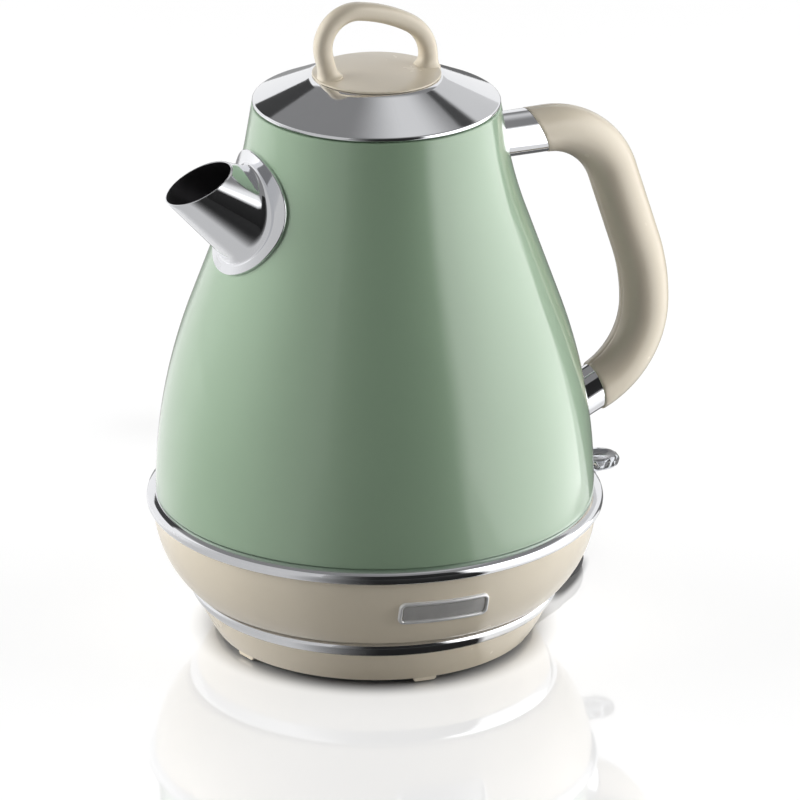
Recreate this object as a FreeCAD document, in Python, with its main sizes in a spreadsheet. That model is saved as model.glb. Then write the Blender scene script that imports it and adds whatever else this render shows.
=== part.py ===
"""Cordless electric kettle on its power base. Millimetres, +Z up, the handle towards +X, the spout towards -X,
origin on the table under the middle of the power base."""
import FreeCAD, Part
import Sketcher
import math
import os
import re

Vector = FreeCAD.Vector
LEFT = 1
RIGHT = -1
FOOT_COUNT = 4
TAB_COUNT = 5
SCREW_COUNT = 3
WIRE_COUNT = 3

# Driving sizes: alias, millimetres or degrees, what it is.
SIZES = [
    ("fit_gap", 0.1, "gap between fixed round fits"),
    ("pin_gap", 0.05, "radial gap of a pin in its bore"),
    ("run_gap", 0.5, "gap between pieces that move past each other"),
    # Power base
    ("foot_height", 1.2, "rubber foot below the base plate"),
    ("foot_radius", 6, "rubber foot"),
    ("foot_circle", 46, "circle of the rubber feet, radius"),
    ("base_plate_thickness", 2, "dark plate under the base"),
    ("base_rim_height", 2.5, "lower edge of the base side above the table"),
    ("base_rim_radius", 60.6, "lower edge of the base side"),
    ("base_side_top", 15.3, "upper edge of the base side above the table"),
    ("base_side_radius", 67.4, "upper edge of the base side"),
    ("base_side_bow", 60, "arc radius of the base side"),
    ("base_wall", 2.4, "base side and ring seat wall"),
    ("base_deck_top", 20.4, "deck the kettle stands on"),
    ("base_deck_thickness", 2.5, "deck plate"),
    ("base_ring_depth", 1.8, "how far the base ring sits into the base side"),
    ("base_ring_lower_radius", 67.7, "base ring, lower edge"),
    ("base_ring_upper_radius", 70.2, "base ring, upper edge"),
    ("base_ring_top", 20.9, "top of the base ring above the table"),
    ("base_ring_bow", 8, "arc radius of the base ring's face"),
    ("tab_width", 9, "foot tab along the rim"),
    ("tab_inset", 0.4, "foot tab in from the rim's faces"),
    ("tab_clearance", 0.8, "foot tab above the table"),
    ("tab_azimuth", -24, "first foot tab"),
    ("boss_radius", 4, "screw boss under the deck"),
    ("boss_circle", 38, "circle of the screw bosses, radius"),
    ("screw_radius", 1.25, "thread of the small screws"),
    ("screw_hole_radius", 1.6, "clearance hole of the small screws"),
    ("screw_head_radius", 2.8, "head of the small screws"),
    ("screw_head_height", 1.1, "head of the small screws"),
    ("screw_bite", 7, "thread length of the small screws past their seat"),
    # Connector of the base
    ("tower_radius", 13, "connector tower"),
    ("tower_top", 30, "top of the tower above the table"),
    ("tower_bottom", 6, "bottom of the tower above the table"),
    ("tower_flange_radius", 17, "flange under the deck"),
    ("tower_flange_thickness", 2.5, "flange under the deck"),
    ("centre_bore_radius", 3, "hole for the centre pin"),
    ("centre_bore_floor", 12, "floor of the centre hole above the table"),
    ("groove_inner_radius", 6.4, "groove for the contact ring"),
    ("groove_outer_radius", 8.6, "groove for the contact ring"),
    ("groove_floor", 16, "floor of the groove above the table"),
    ("contact_thickness", 1.2, "contact plates in the tower"),
    ("terminal_length", 16, "terminal block"),
    ("terminal_width", 14, "terminal block"),
    ("terminal_height", 9, "terminal block"),
    ("wire_radius", 1.1, "insulated wire in the base"),
    ("wire_spacing", 4, "wires side by side"),
    ("wire_gap", 0.5, "wire to its terminal"),
    # Socket of the kettle
    ("socket_wall", 3, "socket housing"),
    ("socket_top_gap", 1, "top of the socket below the control housing"),
    ("socket_roof_gap", 0.6, "roof of the socket above the tower"),
    # Bottom of the kettle
    ("seat_gap", 0.7, "skirt above the base ring"),
    ("skirt_top_height", 51, "top of the skirt above the table"),
    ("skirt_step", 0.8, "top of the skirt outside the pot's lower edge"),
    ("skirt_margin", 0.7227, "skirt's lower edge outside the base ring"),
    ("skirt_wall", 2.4, "skirt"),
    ("trim_ring_height", 5.4, "chrome ring between skirt and pot"),
    ("trim_ring_seat", 2.4, "chrome ring inside the pot's lower edge"),
    ("trim_ring_step", 1.2, "chrome ring's lower edge outside the skirt"),
    ("trim_ring_overhang", 2.1, "edge of the chrome ring's ledge outside the skirt"),
    ("trim_ring_ledge_drop", 1.2, "fall of the ledge to its edge"),
    ("trim_ring_bow", 2.8, "arc radius of the chrome ring's face"),
    ("cover_gap", 0.9, "bottom cover to the skirt"),
    ("cover_thickness", 2, "bottom cover"),
    ("cover_lift", 0.4, "cover above the skirt's lower edge"),
    ("rib_radius", 40, "ring rib that stands on the deck, inside"),
    ("rib_width", 3, "ring rib that stands on the deck"),
    ("rib_gap", 0.2, "ring rib above the deck"),
    ("post_radius", 3.2, "screw post of the cover"),
    ("post_circle", 20.2, "circle of the screw posts, radius"),
    ("control_radius", 23.5, "control housing"),
    ("control_tall", 12.9, "control housing"),
    # Badge
    ("badge_azimuth", -95.9, "badge round the kettle"),
    ("badge_drop", 12.9, "middle of the badge below the skirt's top"),
    ("badge_width", 35, "badge frame"),
    ("badge_tall", 9.8, "badge frame"),
    ("badge_corner", 2.6, "corner radius of the badge frame"),
    ("badge_border", 1.3, "border of the badge frame"),
    ("badge_proud", 1.3, "frame stands out of the skirt"),
    ("badge_field_proud", 0.6, "field stands out of the skirt"),
    # Pot
    ("body_bottom_radius", 83, "pot wall at its lower edge"),
    ("belly_bow", 216, "arc radius of the belly"),
    ("wall_lean", 20.3, "lean of the straight wall"),
    ("shoulder_drop", 41.2, "start of the shoulder below the pot's top"),
    ("shoulder_bow", 154, "arc radius of the hollow shoulder"),
    ("neck_lean", 9.5, "lean of the neck"),
    ("body_top_height", 209.2, "top of the pot above the table"),
    ("body_wall", 1.2, "pot wall"),
    ("lid_ledge", 5.17, "ledge round the opening under the lid"),
    ("heater_lift", 0.5, "heater plate above the pot's lower edge"),
    ("heater_thickness", 1.5, "heater plate"),
    ("heater_flange", 7, "upturned edge of the heater plate"),
    ("weld_gap", 0.35, "heater plate to pot wall"),
    ("diffuser_radius", 37, "heat diffuser"),
    ("diffuser_thickness", 3, "heat diffuser"),
    ("element_circle", 28, "ring of the heating element, radius"),
    ("element_radius", 3.5, "tube of the heating element"),
    ("element_sweep", 320, "how far the element goes round"),
    ("tail_radius", 2, "cold tail of the element"),
    ("tail_length", 7, "cold tail of the element"),
    ("steam_tube_radius", 4, "steam tube"),
    ("steam_tube_bore", 3, "steam tube, radius of its bore"),
    ("steam_tube_offset", 2, "steam tube inwards of the switch housing's middle"),
    ("steam_tube_gap", 6.8, "mouth of the steam tube below the handle screw"),
    # Switch
    ("switch_inner", 34, "switch housing, inner face from the axis"),
    ("switch_inset", 25, "switch housing's outer face inside the pot's lower edge"),
    ("switch_width", 25, "switch housing over its ears"),
    ("switch_drop", 3.9, "switch housing below the pot's lower edge"),
    ("switch_tall", 10.5, "switch housing"),
    ("ear_thickness", 3.5, "ear beside the lever"),
    ("ear_inset", 10, "end of the ears inside the pot's lower edge"),
    ("ear_lift", 2, "ears above the bottom of the switch housing"),
    ("bimetal_radius", 8, "bimetal disc"),
    ("bimetal_thickness", 0.6, "bimetal disc"),
    ("lamp_radius", 2, "pilot lamp"),
    ("lamp_length", 5, "pilot lamp"),
    ("lamp_lift", 4.5, "pilot lamp above the bottom of the switch housing"),
    ("pivot_inset", 15, "lever pivot inside the pot's lower edge"),
    ("lever_drop", 4.2, "middle of the lever below the pot's lower edge"),
    ("pivot_radius", 1.5, "lever pin"),
    ("lever_tail", 6, "lever inwards of its pivot"),
    ("lever_overhang", 19.5, "lever outside the pot's lower edge"),
    ("lever_width", 16, "lever"),
    ("lever_thickness", 5.2, "lever"),
    ("lever_side_gap", 0.9, "lever to the ears and to the notch"),
    ("notch_drop", 7.6, "notch for the lever below the lever's middle"),
    # Handle
    ("handle_drop", 6.2, "upper end of the handle below the straight neck"),
    ("upper_ferrule_length", 15.6, "pot wall to the grip's upper end"),
    ("lower_ferrule_length", 11.2, "pot wall to the grip's lower end"),
    ("handle_upper_bow", 30, "arc radius of the upper bend"),
    ("handle_slope", 71, "fall of the straight middle"),
    ("handle_foot_lift", 21.5, "lower end of the handle above the pot's lower edge"),
    ("handle_middle_bow", 75.5, "arc radius below the middle"),
    ("handle_lower_bow", 35.5, "arc radius of the lower bend"),
    ("handle_end_rise", 25, "rise of the lower end away from the pot"),
    ("grip_radius", 9.4, "grip"),
    ("grip_wall", 2.6, "grip halves"),
    ("core_radius", 4.5, "steel core of the grip"),
    ("core_lead", 3, "core past the grip's ends"),
    ("core_bore_depth", 13, "tapped bore in the core"),
    ("ferrule_radius", 8.7, "ferrule"),
    ("ferrule_wall", 1.6, "ferrule"),
    ("stud_radius", 2.4, "handle screw"),
    ("stud_bite", 9, "handle screw past the grip's end"),
    ("stud_head_radius", 5, "head of the handle screw"),
    ("stud_head_height", 3, "head of the handle screw"),
    ("seal_radius", 6.5, "seal under the head"),
    ("seal_thickness", 2.5, "seal under the head"),
    # Spout and filter
    ("spout_root_lift", 6, "middle of the spout's root above the shoulder's start"),
    ("spout_rise", 33.5, "rise of the spout"),
    ("spout_mouth_radius", 11.7, "spout at its mouth"),
    ("spout_flare", 14, "half angle of the cone"),
    ("spout_mouth_tilt", 26.8, "tilt of the mouth from level"),
    ("spout_wall", 1.2, "spout"),
    ("spout_root", 23.5, "mouth to pot wall along the spout"),
    ("spout_depth", 38, "cone carried behind the mouth before trimming"),
    ("spout_lead", 14, "cone carried past the mouth before trimming"),
    ("flange_radius", 24.8, "flange on the pot"),
    ("flange_thickness", 1.5, "flange on the pot"),
    ("filter_radius", 21.5, "filter frame"),
    ("filter_border", 3, "filter frame"),
    ("filter_thickness", 2, "filter frame"),
    ("mesh_thickness", 0.6, "filter mesh"),
    # Lid
    ("lid_seat_gap", 0.3, "lid above the pot's rim"),
    ("lid_margin", 0.17, "rolled rim of the lid inside the pot's top edge"),
    ("lid_lip", 0.95, "radius of the rolled rim"),
    ("lid_rise", 11, "top of the chrome cone above the lid's lower edge"),
    ("lid_wall", 1.2, "lid sheet"),
    ("disc_radius", 24, "disc under the loop"),
    ("disc_edge", 0.9, "edge of the disc"),
    ("disc_crown", 2, "middle of the disc"),
    ("cone_margin", 0.6, "chrome showing round the disc"),
    ("liner_gap", 1.2, "lid liner to the opening"),
    ("liner_depth", 9.5, "lid liner below the lid's rim"),
    ("liner_lip", 1.1, "lip of the liner on the lid"),
    ("gasket_thickness", 0.75, "lid gasket"),
    ("gasket_height", 3, "lid gasket"),
    ("loop_radius", 3.4, "tube of the loop"),
    ("loop_front", 19.2, "front foot of the loop from the axis"),
    ("loop_lean", 14, "forward lean of the front leg"),
    ("loop_front_leg", 9.3, "front leg"),
    ("loop_front_bow", 12.66, "arc radius of the front bend"),
    ("loop_crest_fall", 8, "fall where the front bend ends"),
    ("loop_top_bow", 56.8, "arc radius of the sloping top"),
    ("loop_back_fall", 30, "fall where the top ends"),
    ("loop_back_bow", 15.6, "arc radius of the back bend"),
    ("loop_back_lean", 97, "fall of the back leg"),
    ("loop_sink", 5, "loop carried below the disc before trimming"),
    ("loop_screw_bore", 5, "screw bore up into the loop's feet"),
    # Cord
    ("cord_diameter", 6.5, "mains cord"),
    ("cord_start_x", 78, "end of the strain relief"),
    ("cord_start_y", 2.3, "end of the strain relief"),
    ("cord_exit_height", 4.6, "strain relief above the table"),
    ("cord_heading", 33, "direction of the strain relief"),
    ("relief_length", 26, "strain relief"),
    ("relief_root_radius", 4.5, "strain relief at the base"),
    ("relief_tip_radius", 3.8, "strain relief at its end"),
    ("inner_lead", 20, "cord inside the base"),
    ("coil_x", 59.8, "middle of the coil"),
    ("coil_y", 124, "middle of the coil"),
    ("coil_outer", 37.6, "outermost turn, to the cord's middle"),
    ("coil_pitch", 8.3, "turns and layers apart"),
    ("coil_height", 4.6, "lower layer above the table"),
    ("coil_layer_sweep", 462.5, "how far each layer winds round"),
    ("tie_width", 8, "tie along the cord"),
    ("tie_thickness", 0.9, "tie"),
    ("tie_gap", 0.4, "tie to the cord"),
    ("tie_azimuth", 170, "tie round the coil"),
    ("plug_radius", 19, "plug"),
    ("plug_height", 22, "plug lying on its back"),
    ("plug_neck", 22, "sleeve of the plug"),
    ("plug_neck_radius", 6.5, "sleeve of the plug at the plug"),
    ("plug_pin_radius", 2.4, "plug pin"),
    ("plug_pin_length", 19, "plug pin"),
    ("plug_pin_spacing", 19, "plug pins apart"),
    ("earth_clip_width", 6, "earth clip"),
    ("earth_clip_thickness", 0.8, "earth clip"),
    ("earth_clip_height", 12, "earth clip"),
]

# Values that follow from the sizes, in terms of sizes and of each other.
DERIVED = {
    # Power base
    "base_plate_top": "foot_height + base_plate_thickness",
    "deck_under": "base_deck_top - base_deck_thickness",
    "ring_seat": "base_side_radius - base_ring_depth",
    "inside_rim": "base_rim_radius - base_wall",
    "inside_side": "ring_seat - base_wall",
    "screw_seat_base": "foot_height + screw_head_height + fit_gap",
    "relief_x": "cord_start_x - relief_length*cos(cord_heading)",
    "relief_y": "cord_start_y - relief_length*sin(cord_heading)",
    # Socket and bottom of the kettle
    "socket_inner": "tower_radius + run_gap",
    "socket_outer": "socket_inner + socket_wall",
    "socket_roof": "tower_top + socket_roof_gap",
    "socket_top": "control_bottom - socket_top_gap",
    "skirt_bottom": "base_ring_top + seat_gap",
    "skirt_top_radius": "body_bottom_radius + skirt_step",
    "skirt_draw": "skirt_top_radius - base_ring_upper_radius - skirt_margin",
    "skirt_bow": "(skirt_draw^2 + (skirt_top_height - skirt_bottom)^2)/(2*skirt_draw)",
    "trim_ring_inner_radius": "body_bottom_radius - trim_ring_seat",
    "trim_ring_lower_radius": "skirt_top_radius + trim_ring_step",
    "trim_ring_edge_radius": "skirt_top_radius + trim_ring_overhang",
    "cover_bottom": "skirt_bottom + cover_lift",
    "cover_top": "cover_bottom + cover_thickness",
    "cover_radius": "skirt_top_radius - skirt_bow - cover_gap"
                    " + sqrt((skirt_bow - skirt_wall)^2 - (skirt_top_height - cover_bottom)^2)",
    "cover_screw_seat": "cover_bottom + screw_head_height + fit_gap",
    # Pot
    "body_bottom": "skirt_top_height + trim_ring_height",
    "belly_end_radius": "body_bottom_radius - belly_bow*(1 - cos(wall_lean))",
    "belly_end_height": "body_bottom + belly_bow*sin(wall_lean)",
    "shoulder_height": "body_top_height - shoulder_drop",
    "shoulder_radius": "belly_end_radius - (shoulder_height - belly_end_height)*tan(wall_lean)",
    "shoulder_middle_radius": "shoulder_radius + shoulder_bow*cos(wall_lean)",
    "shoulder_middle_height": "shoulder_height + shoulder_bow*sin(wall_lean)",
    "neck_radius": "shoulder_radius - shoulder_bow*(cos(neck_lean) - cos(wall_lean))",
    "neck_height": "shoulder_height + shoulder_bow*(sin(wall_lean) - sin(neck_lean))",
    "top_radius": "neck_radius - (body_top_height - neck_height)*tan(neck_lean)",
    "lid_opening_radius": "top_radius - lid_ledge",
    "heater_under": "body_bottom + heater_lift",
    "diffuser_under": "heater_under - diffuser_thickness",
    "control_bottom": "diffuser_under - control_tall",
    "badge_height": "skirt_top_height - badge_drop",
    # Switch
    "switch_outer": "body_bottom_radius - switch_inset",
    "ear_end": "body_bottom_radius - ear_inset",
    "pivot_reach": "body_bottom_radius - pivot_inset",
    "lever_inner": "pivot_reach - lever_tail",
    "lever_tip": "body_bottom_radius + lever_overhang",
    "lever_height": "body_bottom - lever_drop",
    "notch_bottom": "lever_height - notch_drop",
    "notch_width": "lever_width + 2*lever_side_gap",
    "switch_top": "body_bottom - switch_drop",
    "switch_bottom": "switch_top - switch_tall",
    "ear_bottom": "switch_bottom + ear_lift",
    "lamp_height": "switch_bottom + lamp_lift",
    "steam_tube_place": "(switch_inner + switch_outer)/2 - steam_tube_offset",
    "steam_tube_top": "handle_top_height - stud_head_radius - steam_tube_gap",
    # Handle: the straight start and middle of the grip fill what the bends leave between the two ferrules.
    "handle_top_height": "neck_height - handle_drop",
    "wall_at_handle": "shoulder_middle_radius"
                      " - sqrt(shoulder_bow^2 - (shoulder_middle_height - handle_top_height)^2)",
    "upper_wall": "shoulder_middle_radius"
                  " - sqrt((shoulder_bow + body_wall)^2 - (shoulder_middle_height - handle_top_height)^2)",
    "handle_start": "wall_at_handle + upper_ferrule_length",
    "wall_at_foot": "body_bottom_radius - belly_bow + sqrt(belly_bow^2 - handle_foot_lift^2)",
    "grip_end_x": "wall_at_foot + lower_ferrule_length*cos(handle_end_rise)",
    "grip_end_z": "body_bottom + handle_foot_lift + lower_ferrule_length*sin(handle_end_rise)",
    "handle_run": "(handle_top_height - grip_end_z - handle_upper_bow*(1 - cos(handle_slope))"
                  " - handle_middle_bow*cos(handle_slope) - handle_lower_bow*cos(handle_end_rise))"
                  "/sin(handle_slope)",
    "handle_top_run": "grip_end_x - handle_start - handle_upper_bow*sin(handle_slope)"
                      " - handle_run*cos(handle_slope) - handle_middle_bow*(1 - sin(handle_slope))"
                      " + handle_lower_bow*(1 - sin(handle_end_rise))",
    # Spout
    "root_z": "shoulder_height + spout_root_lift",
    "root_x": "sqrt(shoulder_bow^2 - (shoulder_middle_height - root_z)^2) - shoulder_middle_radius",
    "spout_reach": "spout_root*cos(spout_rise) - root_x",
    "spout_height": "root_z + spout_root*sin(spout_rise)",
    # Lid
    "lid_low": "body_top_height + lid_seat_gap",
    "lid_top_height": "lid_low + lid_rise",
    "lid_under": "lid_top_height - lid_wall",
    "lid_rim_radius": "top_radius - lid_margin",
    "liner_radius": "lid_opening_radius - liner_gap",
    "disc_rise": "disc_crown - disc_edge",
    "disc_bow": "(disc_radius^2 + disc_rise^2)/(2*disc_rise)",
    "loop_root": "lid_top_height + disc_edge - loop_sink",
}

# Free cord, chosen by hand: bends between the strain relief and the coil, bends between the coil and the
# plug, and the straight runs that leave the strain relief, meet the coil and leave it.
LEAD_BENDS = [(92.4, 14.6, 3.9), (97.5, 25.0, 3.3), (100.8, 40.6, 3.3), (102.6, 58.2, 3.3),
              (101.9, 77.0, 3.4)]
TAIL_BENDS = [(77.2, 170.1, 9.4), (65.7, 179.6, 9.4)]
LEAD_START_RUN = 8.5
LEAD_END_RUN = 20
TAIL_START_RUN = 13.8

doc = FreeCAD.newDocument("ElectricKettle")
sheet = doc.addObject("Spreadsheet::Sheet", "Sizes")
for row, (alias, number, note) in enumerate(SIZES, start=1):
    sheet.set(f"A{row}", note)
    sheet.set(f"B{row}", str(number))
    sheet.setAlias(f"B{row}", alias)
doc.recompute()

NAME = re.compile(r"\b(" + "|".join([alias for alias, number, note in SIZES] + list(DERIVED)) + r")\b")
parts = []


def spelled(match):
    name = match.group(1)
    return f"({bound(DERIVED[name])})" if name in DERIVED else f"Sizes.{name}"


def bound(expression):
    """Spell an expression of named values the way the document reads it."""
    return NAME.sub(spelled, str(expression))


def value(expression):
    """Work out an expression of named values."""
    return float(sheet.evalExpression(bound(expression)))


def bind(thing, **sizes):
    """Tie properties of a document object to expressions of named values."""
    for name, expression in sizes.items():
        thing.setExpression(name, bound(expression))
    return thing


def keep(thing, label):
    """Hand a finished sub-part in under its own label."""
    thing.Label = label
    parts.append(thing)
    return thing


# Sketching


def sketch_on(body, name, role, lift=None):
    """A sketch on one of the body's own origin planes, lifted along the plane's normal."""
    sketch = body.newObject("Sketcher::SketchObject", name)
    plane = next(feature for feature in body.Origin.OriginFeatures if feature.Role == role)
    sketch.AttachmentSupport = [(plane, "")]
    sketch.MapMode = "FlatFace"
    if lift is not None:
        sketch.setExpression("AttachmentOffset.Base.z", bound(lift))
    return sketch


def pin_point(sketch, geometry, vertex, across, up):
    """Fix a point of the sketch at two expressions of named values."""
    for kind, expression in (("DistanceX", across), ("DistanceY", up)):
        index = sketch.addConstraint(Sketcher.Constraint(kind, -1, 1, geometry, vertex, value(expression)))
        sketch.setExpression(f"Constraints[{index}]", bound(expression))


def set_radius(sketch, geometry, expression):
    """Fix the radius of an arc or circle of the sketch."""
    index = sketch.addConstraint(Sketcher.Constraint("Radius", geometry, value(expression)))
    sketch.setExpression(f"Constraints[{index}]", bound(expression))


def arc_between(start, end, radius, side):
    """The shorter arc from start to end, its centre on the given side of the way."""
    chord = end - start
    across = Vector(-chord.y, chord.x, 0).normalize()
    reach = math.sqrt(max(radius ** 2 - (chord.Length / 2) ** 2, 0))
    centre = (start + end) / 2 + across * reach * side
    first, last = (start, end) if side == LEFT else (end, start)
    angles = [math.atan2(point.y - centre.y, point.x - centre.x) for point in (first, last)]
    return Part.ArcOfCircle(Part.Circle(centre, Vector(0, 0, 1), radius), angles[0], angles[1])


def draw(sketch, corners, closed=True):
    """Draw lines and arcs through corners. A corner is (across, up), or (across, up, radius, side) where an arc
    leads on from it, all but the side as expressions of named values."""
    points = [Vector(value(corner[0]), value(corner[1]), 0) for corner in corners]
    count = len(corners) if closed else len(corners) - 1
    ends = []
    for i in range(count):
        start = points[i]
        end = points[(i + 1) % len(points)]
        if len(corners[i]) == 2:
            geometry = sketch.addGeometry(Part.LineSegment(start, end))
            ends.append((geometry, 1, 2))
        else:
            radius, side = corners[i][2:]
            geometry = sketch.addGeometry(arc_between(start, end, value(radius), side))
            ends.append((geometry, 1, 2) if side == LEFT else (geometry, 2, 1))
    for i in range(count):
        geometry, first, last = ends[i]
        pin_point(sketch, geometry, first, corners[i][0], corners[i][1])
        if closed or i + 1 < count:
            following, following_first, _ = ends[(i + 1) % count]
            sketch.addConstraint(Sketcher.Constraint("Coincident", geometry, last, following, following_first))
        else:
            pin_point(sketch, geometry, last, corners[-1][0], corners[-1][1])
        if len(corners[i]) > 2:
            set_radius(sketch, geometry, corners[i][2])


def draw_circles(sketch, places, radius):
    """Draw circles of one radius at (across, up) places."""
    for across, up in places:
        middle = Vector(value(across), value(up), 0)
        geometry = sketch.addGeometry(Part.Circle(middle, Vector(0, 0, 1), value(radius)))
        pin_point(sketch, geometry, 3, across, up)
        set_radius(sketch, geometry, radius)


def ring_of(circle, count, first="0"):
    """Places evenly round a circle."""
    return [(f"{circle}*cos({first} + {360 * i / count})", f"{circle}*sin({first} + {360 * i / count})")
            for i in range(count)]


def box_corners(left, right, low, high):
    return [(left, low), (right, low), (right, high), (left, high)]


# Features


def new_body(name):
    return doc.addObject("PartDesign::Body", name)


def turned(name, corners):
    """A body turned about the Z axis from an outline of (radius, height) corners."""
    body = new_body(name)
    sketch = sketch_on(body, name + "_outline", "XZ_Plane")
    draw(sketch, corners)
    turn = body.newObject("PartDesign::Revolution", name + "_turn")
    turn.Profile = sketch
    turn.ReferenceAxis = (sketch, ["V_Axis"])
    turn.Angle = 360
    return body


def extrude(body, kind, sketch, length, backwards=False, both_ways=False):
    """Pad or pocket a sketch of the body."""
    feature = body.newObject(kind, sketch.Name + "_feature")
    feature.Profile = sketch
    feature.Reversed = backwards
    if both_ways:
        feature.SideType = "Symmetric"
    bind(feature, Length=length)
    return feature


def pad_outline(body, name, role, corners, lift, length):
    sketch = sketch_on(body, name, role, lift)
    draw(sketch, corners)
    return extrude(body, "PartDesign::Pad", sketch, length)


def pad_circles(body, name, places, radius, low, high):
    """Round posts between two heights."""
    sketch = sketch_on(body, name, "XY_Plane", low)
    draw_circles(sketch, places, radius)
    return extrude(body, "PartDesign::Pad", sketch, f"({high}) - ({low})")


def bore_circles(body, name, places, radius, low, high):
    """Round holes between two heights."""
    sketch = sketch_on(body, name, "XY_Plane", high)
    draw_circles(sketch, places, radius)
    return extrude(body, "PartDesign::Pocket", sketch, f"({high}) - ({low})")


def place(thing, x="0", y="0", z="0", tilt=None, heading=None):
    """Put a primitive at x, y, z: tilted about Y from +Z towards +X, or turned about Z."""
    axis, angle = (Vector(0, 1, 0), tilt) if tilt is not None else (Vector(0, 0, 1), heading or "0")
    thing.Placement = FreeCAD.Placement(Vector(0, 0, 0), FreeCAD.Rotation(axis, value(angle)))
    bind(thing, **{"Placement.Base.x": x, "Placement.Base.y": y, "Placement.Base.z": z})
    bind(thing, **{"Placement.Rotation.Angle": angle})
    return thing


def cylinder(name, radius, height, **where):
    thing = doc.addObject("Part::Cylinder", name)
    return place(bind(thing, Radius=radius, Height=height), **where)


def cone(name, lower, upper, height, **where):
    thing = doc.addObject("Part::Cone", name)
    return place(bind(thing, Radius1=lower, Radius2=upper, Height=height), **where)


def block(name, length, width, height, **where):
    thing = doc.addObject("Part::Box", name)
    return place(bind(thing, Length=length, Width=width, Height=height), **where)


def boolean(kind, name, base, tool):
    thing = doc.addObject("Part::" + kind, name)
    thing.Base = base
    thing.Tool = tool
    return thing


def cut(name, base, tool):
    return boolean("Cut", name, base, tool)


def fuse(name, base, tool):
    return boolean("Fuse", name, base, tool)


def common(name, base, tool):
    return boolean("Common", name, base, tool)


def group(name, members):
    """Several like solids under one name."""
    thing = doc.addObject("Part::Compound", name)
    thing.Links = members
    return keep(thing, name)


def shaped(label, shape):
    """A sub-part whose shape comes from Part's own functions."""
    thing = doc.addObject("Part::Feature", label)
    thing.Shape = shape
    return keep(thing, label)


def screw(name, x, y, seat, bite):
    """A screw along Z, its head just below the seat height, its thread going up from there."""
    head_low = f"{seat} - screw_head_height"
    head = cylinder(name + "_head", "screw_head_radius", "screw_head_height", x=x, y=y, z=head_low)
    thread = cylinder(name + "_thread", "screw_radius", bite, x=x, y=y, z=seat)
    return fuse(name, head, thread)


# Power base

boss_places = ring_of("boss_circle", SCREW_COUNT, "60")


def along_cord(name, radius, height, x, y):
    """A cylinder that lies level along the cord's first direction."""
    thing = doc.addObject("Part::Cylinder", name)
    bind(thing, Radius=radius, Height=height)
    lie = FreeCAD.Rotation(Vector(0, 1, 0), 90)
    thing.Placement.Rotation = FreeCAD.Rotation(Vector(0, 0, 1), value("cord_heading")).multiply(lie)
    bind(thing, **{"Placement.Base.x": x, "Placement.Base.y": y, "Placement.Base.z": "cord_exit_height"})
    return thing


def make_base_shell(exit_hole):
    shell = turned("base_bowl", [
        ("inside_rim", "base_rim_height"),
        ("base_rim_radius", "base_rim_height", "base_side_bow", LEFT),
        ("base_side_radius", "base_side_top"),
        ("ring_seat", "base_side_top"),
        ("ring_seat", "base_deck_top"),
        ("tower_radius + fit_gap", "base_deck_top"),
        ("tower_radius + fit_gap", "deck_under"),
        ("inside_side", "deck_under"),
        ("inside_side", "base_side_top - base_wall"),
    ])
    pad_circles(shell, "base_bosses", boss_places, "boss_radius", "base_plate_top", "deck_under")
    bore_circles(shell, "base_boss_bores", boss_places, "screw_radius + pin_gap", "base_plate_top",
                 "screw_seat_base + screw_bite + screw_head_height")
    tabs = sketch_on(shell, "base_tab", "XY_Plane", "tab_clearance")
    draw(tabs, box_corners("inside_rim + tab_inset", "base_rim_radius - tab_inset", "-tab_width/2",
                           "tab_width/2"))
    tab = extrude(shell, "PartDesign::Pad", tabs, "base_rim_height + base_wall - tab_clearance")
    tab_sketch_turn = FreeCAD.Rotation(Vector(0, 0, 1), value("tab_azimuth"))
    tabs.AttachmentOffset = FreeCAD.Placement(tabs.AttachmentOffset.Base, tab_sketch_turn)
    bind(tabs, **{"AttachmentOffset.Rotation.Angle": "tab_azimuth"})
    pattern = shell.newObject("PartDesign::PolarPattern", "base_tabs")
    pattern.Originals = [tab]
    pattern.Axis = (next(f for f in shell.Origin.OriginFeatures if f.Role == "Z_Axis"), [""])
    pattern.Angle = 360
    pattern.Occurrences = TAB_COUNT
    shell.Tip = pattern
    keep(cut("base_shell", shell, exit_hole), "base_shell")


def make_base_plate(exit_hole):
    plate = turned("base_disc", [
        ("0", "foot_height"),
        ("inside_rim - fit_gap", "foot_height"),
        ("inside_rim - fit_gap", "base_plate_top"),
        ("0", "base_plate_top"),
    ])
    bore_circles(plate, "base_plate_holes", boss_places, "screw_hole_radius", "foot_height", "base_plate_top")
    bore_circles(plate, "base_plate_sinks", boss_places, "screw_head_radius + fit_gap", "foot_height",
                 "screw_seat_base")
    keep(cut("base_plate", plate, exit_hole), "base_plate")


def make_base_trim_ring():
    keep(turned("base_trim_ring", [
        ("ring_seat + fit_gap", "base_side_top"),
        ("base_ring_lower_radius", "base_side_top", "base_ring_bow", LEFT),
        ("base_ring_upper_radius", "base_ring_top"),
        ("ring_seat + fit_gap", "base_ring_top"),
    ]), "base_trim_ring")


def make_base_feet():
    feet = []
    for i, (x, y) in enumerate([("0", "0")] + ring_of("foot_circle", FOOT_COUNT, "15")):
        feet.append(cylinder(f"base_foot_{i}", "foot_radius", "foot_height", x=x, y=y))
    group("base_feet", feet)


def make_base_screws():
    group("base_screws", [screw(f"base_screw_{i}", x, y, "screw_seat_base", "screw_bite")
                          for i, (x, y) in enumerate(boss_places)])


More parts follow.
